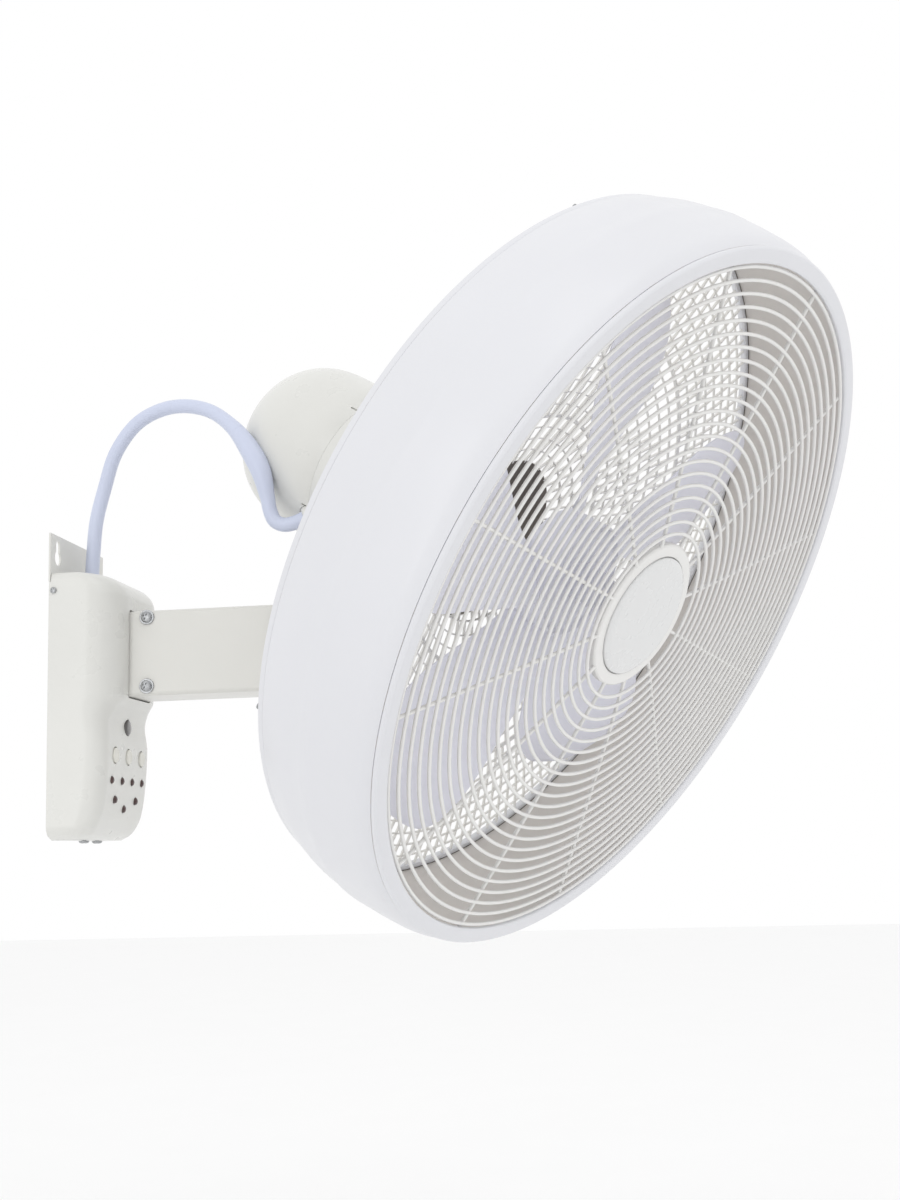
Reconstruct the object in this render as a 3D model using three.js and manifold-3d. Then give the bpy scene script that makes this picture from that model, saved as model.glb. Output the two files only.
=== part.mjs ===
// Wall mounted fan with a deep round shroud, a remote-control wall box and a tilting, swinging head.
// Millimetres, +Z up. The wall is the plane Y = 0 and the room lies toward -Y.
// The head is modelled in its own frame: fan axis along Y with the front toward -Y,
// swing axis along Z, origin where the two axes cross.

import * as THREE from 'three';
import { mergeVertices } from 'three/addons/utils/BufferGeometryUtils.js';
import Module from 'manifold-3d';

const wasm = await Module();
wasm.setup();

// ---------------------------------------------------------------- driving dimensions

const GAP = 0.3;
const WALL = 2.2;

const BOX_HALF_WIDTH = 50;
const BOX_TOP = 76;
const BOX_BOTTOM = -106;
const BOX_BACK = -0.3;
const PLATE_THICKNESS = 1.2;
const PLATE_TOP = 104;
const PLATE_BOTTOM = -95;
const PLATE_SHOULDER = 70;

const KEYHOLE_X = 36.7;
const KEYHOLE_Z = 88.3;
const KEYHOLE_RADIUS = 5.25;
const KEYHOLE_SLOT_RADIUS = 3.25;
const KEYHOLE_SLOT_Z = 97.4;

const ARM_HALF_WIDTH = 22.5;
const ARM_BOTTOM = -8.5;
const ARM_TOP = 51;
const ARM_START = -24;
const ARM_END = -178;
const ARM_FORK_START = -126;
const ARM_SCREW_Y = -61;
const ARM_SCREW_Z = [46, -2];

const TILT_PIVOT = [0, -156.7, 40];
const TILT_DEG = 34;
const NECK_RISE = 125;
const SWING_DEG = -19;

const PANEL_BUTTON_X = [-26, 0, 26];
const PANEL_BUTTON_Z = -49;
const PANEL_BUTTON_RADIUS = 5.4;
const PANEL_WINDOW_Z = -28.4;
const PANEL_WINDOW_RADIUS = 5.6;
const PANEL_LEDS = [[-30, -66], [-10, -66], [10, -66], [30, -66], [-20.5, -79], [20.5, -79], [0, -85]];
const PANEL_LED_RADIUS = 2.6;

const CABLE_RADIUS = 5;

const MOTOR_RADIUS = 59.5;
const MOTOR_AXIS_Z = -7;
const MOTOR_SEAM_Y = 10;
const MOTOR_DOME_Y = 51;
const MOTOR_FRONT_Y = -100;

const GRILLE_RINGS = 6;
const GRILLE_FIRST_RING = 57.3;
const GRILLE_LAST_RING = 227.1;
const GRILLE_SPOKES = 12;
const GRILLE_SPOKE_PHASE_DEG = -6;
const GUARD_RIBS = 18;
const GUARD_RINGS = 2;

const BLADES = 5;
const BLADE_PHASE_DEG = 33;
const BLADE_TIP_RADIUS = 193;
const BLADE_ROOT_RADIUS = 36;

// ---------------------------------------------------------------- solids from geometries

const deg = Math.PI / 180;

function toSolid(geometry) {
  const bare = geometry.clone();
  bare.deleteAttribute('normal');
  bare.deleteAttribute('uv');
  const merged = mergeVertices(bare, 1e-4);
  const index = merged.index.array;
  const faces = [];
  for (let i = 0; i < index.length; i += 3) {
    const [a, b, c] = [index[i], index[i + 1], index[i + 2]];
    if (a !== b && b !== c && c !== a) faces.push(a, b, c);
  }
  return new wasm.Manifold(new wasm.Mesh({
    numProp: 3,
    vertProperties: new Float32Array(merged.attributes.position.array),
    triVerts: new Uint32Array(faces),
  }));
}

function toGeometry(solid) {
  const mesh = solid.getMesh();
  const geometry = new THREE.BufferGeometry();
  geometry.setAttribute('position', new THREE.BufferAttribute(new Float32Array(mesh.vertProperties), 3));
  geometry.setIndex(new THREE.BufferAttribute(new Uint32Array(mesh.triVerts), 1));
  geometry.computeVertexNormals();
  return geometry;
}

function join(first, ...others) {
  return others.reduce((whole, other) => whole.add(other), first);
}

function cut(first, ...others) {
  return others.reduce((whole, other) => whole.subtract(other), first);
}

// A box given by its lowest and highest corner.
function block(low, high) {
  const size = low.map((value, i) => high[i] - value);
  const middle = low.map((value, i) => (high[i] + value) / 2);
  return toSolid(new THREE.BoxGeometry(...size).translate(...middle));
}

// A round bar along one axis, centred on a point.
function rod(axis, radius, length, centre, sides = 24) {
  const geometry = new THREE.CylinderGeometry(radius, radius, length, sides);
  if (axis === 'x') geometry.rotateZ(90 * deg);
  if (axis === 'z') geometry.rotateX(90 * deg);
  return toSolid(geometry.translate(...centre));
}

// A solid of revolution about the Y axis; the profile holds [radius, y] points, y rising outside.
function turned(profile, sides) {
  return toSolid(new THREE.LatheGeometry(profile.map(([r, y]) => new THREE.Vector2(r, y)), sides));
}

// The same about the Z axis; the profile holds [radius, z] points.
function turnedUpright(profile, sides) {
  const points = profile.map(([r, z]) => new THREE.Vector2(r, z));
  return toSolid(new THREE.LatheGeometry(points, sides).rotateX(90 * deg));
}

// A flat ring or washer about the Y axis.
function hoop(inner, outer, back, front, sides) {
  return turned([[inner, front], [outer, front], [outer, back], [inner, back], [inner, front]], sides);
}

// The same about the Z axis.
function hoopUpright(inner, outer, low, high, sides) {
  return turnedUpright([[inner, low], [outer, low], [outer, high], [inner, high], [inner, low]], sides);
}

// A rounded rectangle in the XZ plane pushed along Y, from its back to its front.
function roundedTube(halfWidth, low, high, radius, back, front) {
  const shape = new THREE.Shape();
  shape.moveTo(-halfWidth + radius, low);
  shape.lineTo(halfWidth - radius, low);
  shape.absarc(halfWidth - radius, low + radius, radius, -90 * deg, 0);
  shape.absarc(halfWidth - radius, high - radius, radius, 0, 90 * deg);
  shape.absarc(-halfWidth + radius, high - radius, radius, 90 * deg, 180 * deg);
  shape.absarc(-halfWidth + radius, low + radius, radius, 180 * deg, 270 * deg);
  const geometry = new THREE.ExtrudeGeometry(shape, {
    depth: back - front, bevelEnabled: false, curveSegments: 3,
  });
  return toSolid(geometry.rotateX(90 * deg).translate(0, back, 0));
}

// Part of a longer curve, between two shares of its length.
class Stretch extends THREE.Curve {
  constructor(whole, from, to) {
    super();
    this.whole = whole;
    this.from = from;
    this.to = to;
  }

  getPoint(share, target = new THREE.Vector3()) {
    return this.whole.getPointAt(this.from + (this.to - this.from) * share, target);
  }
}

function cableSolid(curve) {
  const section = new THREE.Shape();
  const sides = 8;
  for (let i = 0; i < sides; i += 1) {
    const angle = (i / sides) * 2 * Math.PI;
    const point = [CABLE_RADIUS * Math.cos(angle), CABLE_RADIUS * Math.sin(angle)];
    if (i === 0) section.moveTo(...point);
    else section.lineTo(...point);
  }
  const steps = Math.round(curve.getLength() / (2 * CABLE_RADIUS));
  return new THREE.ExtrudeGeometry(section, { steps, extrudePath: curve, bevelEnabled: false });
}

// ---------------------------------------------------------------- the scene graph

const fan = new THREE.Group();
const neck = new THREE.Group();
const head = new THREE.Group();
neck.position.set(...TILT_PIVOT);
neck.rotation.x = TILT_DEG * deg;
head.position.set(0, 0, NECK_RISE);
head.rotation.z = SWING_DEG * deg;
neck.add(head);
fan.add(neck);

const LOOKS = {
  paint: [0xefeee6, 0.5, 0.1],
  shell: [0xf0eee4, 0.45, 0],
  drum: [0xf1f1ef, 0.4, 0],
  blade: [0xecedf0, 0.4, 0],
  steel: [0xb9bbbd, 0.35, 0.9],
  darkPlastic: [0x2c2a2b, 0.5, 0],
  led: [0x4a1618, 0.3, 0],
  button: [0xe9e7df, 0.45, 0],
  cable: [0xdfe5f2, 0.5, 0],
  copper: [0xb5713f, 0.4, 0.8],
  board: [0x2f6b45, 0.6, 0],
  brass: [0xc2a25a, 0.4, 0.9],
};

function addPiece(parent, name, shape, look) {
  const [color, roughness, metalness] = LOOKS[look];
  const material = new THREE.MeshStandardMaterial({ color, roughness, metalness });
  const geometry = shape.isBufferGeometry ? shape : toGeometry(shape);
  const mesh = new THREE.Mesh(geometry, material);
  mesh.name = name;
  parent.add(mesh);
  return mesh;
}

// A pan-head screw along Y; the head's underside lies at y = 0 and the shank behind it.
function panScrew(headRadius, headHeight, shankRadius, shankLength, washerRadius = 0) {
  const rise = washerRadius > 0 ? 0.9 : 0;
  const profile = [[0, -headHeight - rise], [headRadius * 0.6, -headHeight - rise],
    [headRadius, -headHeight * 0.45 - rise]];
  if (washerRadius > 0) profile.push([headRadius, -rise], [washerRadius, -rise], [washerRadius, 0]);
  else profile.push([headRadius, 0]);
  profile.push([shankRadius, 0], [shankRadius, shankLength], [0, shankLength]);
  return turned(profile, 12);
}

function addScrew(parent, name, shape, place, turn) {
  const screw = addPiece(parent, name, shape, 'steel');
  screw.position.set(...place);
  screw.rotation.set(...turn.map((angle) => angle * deg));
}

// ---------------------------------------------------------------- wall plate, box and arm

function keyhole(x) {
  return join(
    rod('y', KEYHOLE_RADIUS, 8, [x, 0, KEYHOLE_Z], 20),
    rod('y', KEYHOLE_SLOT_RADIUS, 8, [x, 0, KEYHOLE_SLOT_Z], 16),
    block([x - KEYHOLE_SLOT_RADIUS, -4, KEYHOLE_Z], [x + KEYHOLE_SLOT_RADIUS, 4, KEYHOLE_SLOT_Z]));
}

const SIDE_SCREW = [BOX_HALF_WIDTH, -3.7, 63.5];
const SIDE_SCREW_HOLE = 1.4;
const BOTTOM_SCREW = [12.4, -12.7, BOX_BOTTOM];
const BRACKET_HALF_WIDTH = 20.1;
const BRACKET_LOW = ARM_BOTTOM + 2 + GAP;
const BRACKET_HIGH = 48.5;
const BRACKET_END = -74;
const PLATE_FACE = -PLATE_THICKNESS;
const TAB_THICKNESS = 1.3;

function wallPlate() {
  const inner = BOX_HALF_WIDTH - WALL - GAP;
  const tabLow = BOX_BOTTOM + WALL + GAP;
  let plate = join(
    block([-inner + 0.5, PLATE_FACE, PLATE_BOTTOM], [inner - 0.5, 0, PLATE_TOP]),
    block([-BOX_HALF_WIDTH, PLATE_FACE, PLATE_SHOULDER], [BOX_HALF_WIDTH, 0, PLATE_TOP]),
    block([-30, PLATE_FACE, tabLow], [30, 0, PLATE_BOTTOM + 1]));
  for (const side of [-1, 1]) {
    const [near, far] = [side * (inner - TAB_THICKNESS), side * inner];
    plate = plate.add(block([Math.min(near, far), -13, 53], [Math.max(near, far), PLATE_FACE + 0.5, 66]));
    const x = side * BOTTOM_SCREW[0];
    plate = plate.add(block([x - 6, -19, tabLow], [x + 6, PLATE_FACE + 0.5, tabLow + TAB_THICKNESS]));
    plate = cut(plate,
      keyhole(side * KEYHOLE_X),
      rod('x', SIDE_SCREW_HOLE, 12, [side * inner, SIDE_SCREW[1], SIDE_SCREW[2]], 12),
      rod('z', 1.8, 12, [x, BOTTOM_SCREW[1], tabLow], 12),
      rod('y', 2.6, 8, [side * KEYHOLE_X, 0, -82], 12));
  }
  return plate;
}

function armBracket() {
  const flange = block([-36, PLATE_FACE - GAP - 2, -14], [36, PLATE_FACE - GAP, 60]);
  const sleeve = roundedTube(BRACKET_HALF_WIDTH, BRACKET_LOW, BRACKET_HIGH, 2, PLATE_FACE - GAP - 1, BRACKET_END);
  const bore = roundedTube(BRACKET_HALF_WIDTH - 2.5, BRACKET_LOW + 2.5, BRACKET_HIGH - 2.5, 1, 4, BRACKET_END - 4);
  let bracket = cut(join(flange, sleeve), bore);
  for (const z of ARM_SCREW_Z) bracket = bracket.subtract(rod('x', 1.9, 60, [0, ARM_SCREW_Y, z], 12));
  return bracket;
}

// Half outline of the box cover at one height: depth toward the room and the size of the front corner.
function coverSection(z, depth, cornerX, cornerY, inset, halfWidth = BOX_HALF_WIDTH) {
  const points = [];
  const reach = halfWidth - inset;
  const steps = 4;
  for (const side of [-1, 1]) {
    const arc = [];
    for (let i = 0; i <= steps; i += 1) {
      const angle = (i / steps) * 90 * deg;
      const x = side * (reach - cornerX + cornerX * Math.cos(angle));
      const y = -(depth - inset - cornerY + cornerY * Math.sin(angle));
      arc.push([x, y, z]);
    }
    const back = [side * reach, inset > 0 ? 4 : BOX_BACK, z];
    points.push(...(side < 0 ? [back, ...arc] : [...arc.reverse(), back]));
  }
  return points;
}

// A closed solid through equal-length outlines stacked along Z.
function loft(sections) {
  const count = sections[0].length;
  const vertices = sections.flat();
  const faces = [];
  for (let level = 0; level + 1 < sections.length; level += 1) {
    for (let i = 0; i < count; i += 1) {
      const a = level * count + i;
      const b = level * count + ((i + 1) % count);
      faces.push(a, b, b + count, a, b + count, a + count);
    }
  }
  const top = (sections.length - 1) * count;
  for (let i = 1; i + 1 < count; i += 1) {
    faces.push(0, i + 1, i, top, top + i, top + i + 1);
  }
  const geometry = new THREE.BufferGeometry();
  geometry.setAttribute('position', new THREE.Float32BufferAttribute(vertices.flat(), 3));
  geometry.setIndex(faces);
  return toSolid(geometry);
}

// Height, depth and front corner (width, depth) up the cover.
const COVER_STATIONS = [
  [-106, 24, 12, 12, 40],
  [-102.5, 28.2, 13, 13, 47.5],
  [-97, 32, 13, 14, 50],
  [-90, 35.3, 13, 14, 50],
  [-78, 37.7, 13, 14, 50],
  [-60, 39.5, 13, 14, 50],
  [-42, 40.2, 13, 14, 50],
  [-27, 38.8, 15, 15, 50],
  [-17, 42.2, 20, 19, 50],
  [-8, 48, 25, 23, 50],
  [51, 48.5, 25, 23, 50],
  [60, 48.5, 25, 23, 50],
  [66, 46.5, 25, 22, 50],
  [71, 42, 24, 20, 49.5],
  [74.5, 36, 22, 17, 48.5],
  [76, 30, 19, 15, 47],
];

function coverBody(inset) {
  const sections = COVER_STATIONS.map(([z, depth, cornerX, cornerY, halfWidth]) => {
    const height = Math.min(Math.max(z, BOX_BOTTOM + inset), BOX_TOP - inset);
    return coverSection(height, depth, cornerX, cornerY, inset, halfWidth);
  });
  return loft(sections);
}

function boxCover() {
  const clear = 1;
  let cover = cut(coverBody(0), coverBody(WALL),
    block([-BOX_HALF_WIDTH - 1, PLATE_FACE - GAP, PLATE_SHOULDER - GAP], [BOX_HALF_WIDTH + 1, 4, BOX_TOP + 1]),
    roundedTube(ARM_HALF_WIDTH + clear, ARM_BOTTOM - clear, ARM_TOP + clear, 3, -20, -60),
    rod('z', CABLE_RADIUS + 1.6, 20, [0, -12.3, BOX_TOP], 20),
    rod('y', PANEL_WINDOW_RADIUS + GAP, 30, [0, -40, PANEL_WINDOW_Z], 20));
  for (const x of PANEL_BUTTON_X) {
    cover = cover.subtract(rod('y', PANEL_BUTTON_RADIUS + GAP, 20, [x, -44, PANEL_BUTTON_Z], 16));
  }
  for (const [x, z] of PANEL_LEDS) {
    cover = cover.subtract(rod('y', PANEL_LED_RADIUS + GAP, 20, [x, -42, z], 10));
  }
  for (const side of [-1, 1]) {
    cover = cut(cover,
      rod('x', SIDE_SCREW_HOLE, 12, [side * SIDE_SCREW[0], SIDE_SCREW[1], SIDE_SCREW[2]], 12),
      rod('z', 1.8, 12, [side * BOTTOM_SCREW[0], BOTTOM_SCREW[1], BOX_BOTTOM], 12));
  }
  return cover;
}

const BOARD_FRONT = -28.5;

function circuitBoard() {
  const board = block([-40, BOARD_FRONT, -92], [40, BOARD_FRONT + 1.6, -12]);
  const supply = block([-34, BOARD_FRONT + 1.2, -58], [-4, -12, -30]);
  const relay = block([8, BOARD_FRONT + 1.2, -52], [28, -16, -34]);
  const terminals = block([-30, BOARD_FRONT + 1.2, -90], [30, -18, -80]);
  return join(board, supply, relay, terminals);
}

function receiverWindow() {
  const cup = turned([[0, -40.9], [4.6, -40.5], [PANEL_WINDOW_RADIUS, -39.7], [PANEL_WINDOW_RADIUS, -35],
    [0, -35]], 20);
  return join(cup, rod('y', 2.6, 7, [0, -32.3, 0], 12)).translate([0, 0, PANEL_WINDOW_Z]);
}

function indicatorLamp(x, z, frontY) {
  const back = BOARD_FRONT - GAP;
  const profile = [[0, frontY - 1.6], [1.5, frontY - 1.2], [PANEL_LED_RADIUS, frontY],
    [PANEL_LED_RADIUS, back], [0, back]];
  return turned(profile, 10).translate([x, 0, z]);
}

function pushButton(x) {
  const top = -41.4;
  const stop = -36;
  const profile = [[0, top], [PANEL_BUTTON_RADIUS - 0.8, top], [PANEL_BUTTON_RADIUS, top + 0.7],
    [PANEL_BUTTON_RADIUS, stop - 0.8], [PANEL_BUTTON_RADIUS + 1.4, stop - 0.8],
    [PANEL_BUTTON_RADIUS + 1.4, stop], [2, stop], [2, BOARD_FRONT - 1.8], [0, BOARD_FRONT - 1.8]];
  return turned(profile, 16).translate([x, 0, PANEL_BUTTON_Z]);
}

function cableGrommet() {
  const groove = CABLE_RADIUS + 1.6 - GAP;
  const inside = CABLE_RADIUS + GAP;
  return turnedUpright([[inside, BOX_TOP - 6], [groove + 1, BOX_TOP - 6], [groove, BOX_TOP - WALL - 1.2],
    [groove, BOX_TOP + 0.4], [inside + 0.6, BOX_TOP + 1.2], [inside, BOX_TOP + 1.2],
    [inside, BOX_TOP - 6]], 20).translate([0, -12.3, 0]);
}

function armBar() {
  const outer = roundedTube(ARM_HALF_WIDTH, ARM_BOTTOM, ARM_TOP, 3, ARM_START, ARM_END);
  const inner = roundedTube(ARM_HALF_WIDTH - 2, ARM_BOTTOM + 2, ARM_TOP - 2, 1.5, ARM_START + 4, ARM_END - 4);
  let bar = cut(outer, inner,
    block([-ARM_HALF_WIDTH + 2, ARM_END - 4, ARM_BOTTOM + 12], [ARM_HALF_WIDTH - 2, ARM_FORK_START, ARM_TOP + 4]),
    rod('x', 4.3, 70, [0, TILT_PIVOT[1], TILT_PIVOT[2]], 20));
  for (const z of ARM_SCREW_Z) bar = bar.subtract(rod('x', 1.9, 70, [0, ARM_SCREW_Y, z], 12));
  return bar;
}

// Tilt bolt through the fork, with its hexagon head on the right and the clamping knob on the left.
function tiltBolt() {
  const [, y, z] = TILT_PIVOT;
  const head = rod('x', 6.5, 4, [ARM_HALF_WIDTH + GAP + 2, y, z], 6);
  return join(head, rod('x', 4, 2 * ARM_HALF_WIDTH + 14, [-5.5, y, z], 20));
}

function tiltNut() {
  const [, y, z] = TILT_PIVOT;
  const washer = rod('x', 6.5, 1.4, [-ARM_HALF_WIDTH - GAP - 0.7, y, z], 20);
  const nut = rod('x', 6.2, 5, [-ARM_HALF_WIDTH - GAP - 3.6, y, z], 6);
  return cut(join(washer, nut), rod('x', 4.3, 30, [-ARM_HALF_WIDTH, y, z], 20));
}

// Route of the lead: up out of the box, over its arch, down beside the motor, then level into the gland.
const CABLE_END = [-30, -176, 108.2];
const CABLE_ROUTE = [
  [0, -12.3, 71], [0, -12.3, 86], [0, -13, 98], [-0.5, -15.2, 120.5], [-1, -21.5, 145], [-3, -30.5, 170],
  [-6, -47, 189.5], [-10, -66.5, 197.5], [-14, -85.5, 198], [-19, -106, 191.5], [-25, -124, 177],
  [-30, -136.5, 160.5], [-32.5, -145.7, 143.1], [-31, -150, 124.2], [-30, -151.8, 114],
  [-29.5, -155, 107.5], [-29.5, -161.2, 104.6], [-30, -168.5, 105.3], CABLE_END,
];
const CABLE_SPLIT_SHARE = 0.7;
const cableCurve = new THREE.CatmullRomCurve3(
  CABLE_ROUTE.map((point) => new THREE.Vector3(...point)), false, 'centripetal');
const cableGapShare = GAP / cableCurve.getLength();

function baseParts() {
  addPiece(fan, 'wall_plate', wallPlate(), 'paint');
  addPiece(fan, 'arm_bracket', armBracket(), 'steel');
  addPiece(fan, 'box_cover', boxCover(), 'shell');
  addPiece(fan, 'circuit_board', circuitBoard(), 'board');
  addPiece(fan, 'receiver_window', receiverWindow(), 'darkPlastic');
  PANEL_LEDS.forEach(([x, z], i) => {
    const depth = z < -80 ? -36.7 : -38;
    addPiece(fan, `indicator_lamp_${i + 1}`, indicatorLamp(x, z, z > -70 ? -39.1 : depth), 'led');
  });
  ['speed', 'swing', 'timer'].forEach((name, i) => {
    addPiece(fan, `${name}_button`, pushButton(PANEL_BUTTON_X[i]), 'button');
  });
  addPiece(fan, 'cable_grommet', cableGrommet(), 'darkPlastic');
  addPiece(fan, 'start_capacitor', block([-16, -24, 8], [16, -6, 40]), 'darkPlastic');
  addPiece(fan, 'arm_bar', armBar(), 'paint');
  addPiece(fan, 'tilt_bolt', tiltBolt(), 'steel');
  addPiece(fan, 'tilt_nut', tiltNut(), 'steel');
  addPiece(fan, 'cable_upper', cableSolid(new Stretch(cableCurve, 0, CABLE_SPLIT_SHARE)), 'cable');
}

function fasteners() {
  for (const side of [-1, 1]) {
    const name = side < 0 ? 'left' : 'right';
    addScrew(fan, `side_screw_${name}`, panScrew(2.2, 1.1, 1.1, 4.5),
      [side * (SIDE_SCREW[0] + GAP), SIDE_SCREW[1], SIDE_SCREW[2]], [0, 0, side * 90]);
    addScrew(fan, `bottom_screw_${name}`, panScrew(3.6, 1.8, 1.5, 5.5),
      [side * BOTTOM_SCREW[0], BOTTOM_SCREW[1], BOTTOM_SCREW[2] - GAP], [90, 0, 0]);
    ARM_SCREW_Z.forEach((z, i) => {
      const level = i === 0 ? 'upper' : 'lower';
      addScrew(fan, `arm_screw_${level}_${name}`, panScrew(3.9, 2.2, 1.6, 5.2, 5.2),
        [side * (ARM_HALF_WIDTH + GAP), ARM_SCREW_Y, z], [0, 0, side * 90]);
    });
  }
}

// ---------------------------------------------------------------- neck, in the tilting frame

const NECK_TOP = NECK_RISE - 77;
const NECK_STEM_RADIUS = 12.5;
const POST_RADIUS = 8;
const POST_TOP = NECK_RISE - 46.6;

function neckCasting() {
  const lug = rod('x', 11.5, 2 * (ARM_HALF_WIDTH - 2 - GAP), [0, 0, 0], 24);
  const stem = rod('z', NECK_STEM_RADIUS, NECK_TOP - 6, [0, 0, (NECK_TOP - 6) / 2], 24);
  const collar = turnedUpright([[0, NECK_TOP - 20], [NECK_STEM_RADIUS, NECK_TOP - 20], [20, NECK_TOP - 9],
    [20, NECK_TOP], [0, NECK_TOP]], 24);
  return cut(join(lug, stem, collar),
    rod('x', 4.3, 60, [0, 0, 0], 20),
    rod('z', POST_RADIUS + GAP, 24, [0, 0, NECK_TOP], 20));
}

function swingPost() {
  const foot = NECK_TOP - 12 + GAP;
  return turnedUpright([[0, foot], [POST_RADIUS, foot], [POST_RADIUS, POST_TOP - 1], [POST_RADIUS - 1, POST_TOP],
    [0, POST_TOP]], 20);
}

const GEAR_LOW = NECK_RISE - 51.6;
const GEAR_HIGH = NECK_RISE - 47;
const GEAR_RADIUS = 14;
const PINION_RADIUS = 7;
const PINION_SPACING = GEAR_RADIUS + PINION_RADIUS + 0.5;

function fixedGear() {
  return hoopUpright(POST_RADIUS + GAP, GEAR_RADIUS, GEAR_LOW, GEAR_HIGH, 28);
}

function neckParts() {
  addPiece(neck, 'neck_casting', neckCasting(), 'paint');
  addPiece(neck, 'swing_post', swingPost(), 'steel');
  addPiece(neck, 'swing_fixed_gear', fixedGear(), 'brass');
  const lower = new Stretch(cableCurve, CABLE_SPLIT_SHARE + cableGapShare, 1);
  addPiece(fan, 'cable_lower', cableSolid(lower), 'cable');
}

// ---------------------------------------------------------------- motor, in the head frame

const MOTOR_WALL = 2.5;
const BOSS_RADIUS = 22;
const BOSS_LOW = NECK_TOP + GAP - NECK_RISE;
const BEARING_OUTER = 15;
const SHAFT_RADIUS = 5;

function motorCapsule(radius, back, front) {
  const profile = [[0, front], [radius - 6, front], [radius - 1.6, front + 1.8], [radius, front + 6],
    [radius, back]];
  if (back > MOTOR_DOME_Y) {
    profile.pop();
    const steps = 7;
    for (let i = 0; i < steps; i += 1) {
      const angle = (i / steps) * 90 * deg;
      const [across, along] = [Math.cos(angle) ** 0.88, Math.sin(angle) ** 0.88];
      profile.push([radius * across, MOTOR_DOME_Y + (radius - 1.5) * along]);
    }
    profile.push([0, MOTOR_DOME_Y + radius - 1.5]);
  } else {
    profile.push([0, back]);
  }
  return turned(profile, 24).translate([0, 0, MOTOR_AXIS_Z]);
}

const toHead = new THREE.Matrix4();
const GLAND_MOUTH = new THREE.Vector3();
const GLAND_AXIS = new THREE.Vector3();
fan.updateMatrixWorld(true);
toHead.copy(head.matrixWorld).invert();
GLAND_AXIS.set(0, -0.92, 0.39).transformDirection(toHead);
GLAND_MOUTH.set(...CABLE_END).applyMatrix4(toHead).addScaledVector(GLAND_AXIS, GAP);
const GLAND_RADIUS = 7.6;
const STATOR_BACK = -22;
const STATOR_FRONT = -62;
const STATOR_RADIUS = 46;
const ROTOR_RADIUS = 27.3;
const POST_CIRCLE = 43.4;
const PLATE_BACK = -9.3;
const GUARD_HUB_RADIUS = 54;

// Turns and moves a solid made about the Y axis so that it lies along the cable gland.
function alongGland(profile, sides) {
  const points = profile.map(([r, y]) => new THREE.Vector2(r, y));
  const geometry = new THREE.LatheGeometry(points, sides);
  const turn = new THREE.Quaternion().setFromUnitVectors(new THREE.Vector3(0, 1, 0), GLAND_AXIS);
  return toSolid(geometry.applyQuaternion(turn).translate(...GLAND_MOUTH.toArray()));
}

function around(count, phase, radius, place) {
  return Array.from({ length: count }, (_, i) => {
    const angle = (phase + (i * 360) / count) * deg;
    return place(radius * Math.sin(angle), radius * Math.cos(angle));
  });
}

function frontCasing() {
  const outer = motorCapsule(MOTOR_RADIUS, MOTOR_SEAM_Y - GAP / 2, MOTOR_FRONT_Y);
  const inner = motorCapsule(MOTOR_RADIUS - MOTOR_WALL, MOTOR_SEAM_Y + 5, MOTOR_FRONT_Y + 3);
  const boss = hoopUpright(POST_RADIUS + GAP, BOSS_RADIUS, BOSS_LOW, -52, 20);
  const seat = hoop(BEARING_OUTER + GAP, BEARING_OUTER + 4, MOTOR_FRONT_Y + 14, MOTOR_FRONT_Y + 1, 16);
  const posts = around(4, 45, POST_CIRCLE, (x, z) => {
    const length = STATOR_FRONT - GAP - (MOTOR_FRONT_Y + 2);
    return rod('y', 2.3, length, [x, STATOR_FRONT - GAP - length / 2, z], 8);
  });
  return cut(join(cut(outer, inner), boss, seat, ...posts),
    rod('y', SHAFT_RADIUS + 2, 20, [0, MOTOR_FRONT_Y, 0], 16),
    rod('z', POST_RADIUS + GAP, 60, [0, 0, -60], 20),
    alongGland([[0, -4], [GLAND_RADIUS + GAP, -4], [GLAND_RADIUS + GAP, 30], [0, 30]], 12));
}

function rearShell() {
  const outer = motorCapsule(MOTOR_RADIUS, 200, MOTOR_SEAM_Y - 20);
  const inner = motorCapsule(MOTOR_RADIUS - MOTOR_WALL, 200, MOTOR_SEAM_Y - 30);
  return cut(outer, inner,
    block([-80, -60, -90], [80, MOTOR_SEAM_Y + GAP / 2, 90]),
    rod('z', BOSS_RADIUS + GAP, 60, [0, 0, -80], 24),
    alongGland([[0, -4], [GLAND_RADIUS + GAP, -4], [GLAND_RADIUS + GAP, 30], [0, 30]], 12));
}

function cableGland() {
  const bore = CABLE_RADIUS + GAP;
  return alongGland([[bore, 0], [GLAND_RADIUS - 1.2, 0], [GLAND_RADIUS, 1.4], [GLAND_RADIUS, 21],
    [bore, 21], [bore, 0]], 20);
}

function statorCore() {
  const slots = around(8, 0, 30.5, (x, z) => block([x - 2, STATOR_FRONT - 1, z - 2], [x + 2, STATOR_BACK + 1, z + 2]));
  return cut(hoop(ROTOR_RADIUS + 0.7, STATOR_RADIUS, STATOR_BACK, STATOR_FRONT, 24), ...slots);
}

function endWinding(back, front) {
  const middle = (back + front) / 2;
  return turned([[30, front + 2], [32, front], [37, front], [39, middle], [37, back], [32, back],
    [30, back - 2], [30, front + 2]], 20);
}

// The rear bearing plate stands on four posts behind the stator and carries the rear bearing.
function bearingPlate() {
  const posts = around(4, 45, POST_CIRCLE, (x, z) => {
    const length = PLATE_BACK - 1 - (STATOR_BACK + GAP);
    return rod('y', 2.3, length, [x, STATOR_BACK + GAP + length / 2, z], 8);
  });
  const hub = hoop(BEARING_OUTER + GAP, BEARING_OUTER + 4, PLATE_BACK + 9, PLATE_BACK - 2, 16);
  return join(hoop(BEARING_OUTER + 1, STATOR_RADIUS, PLATE_BACK, PLATE_BACK - 2, 16), hub, ...posts);
}

function bearing(back) {
  return hoop(SHAFT_RADIUS + GAP, BEARING_OUTER, back, back - 9, 16);
}

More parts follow.
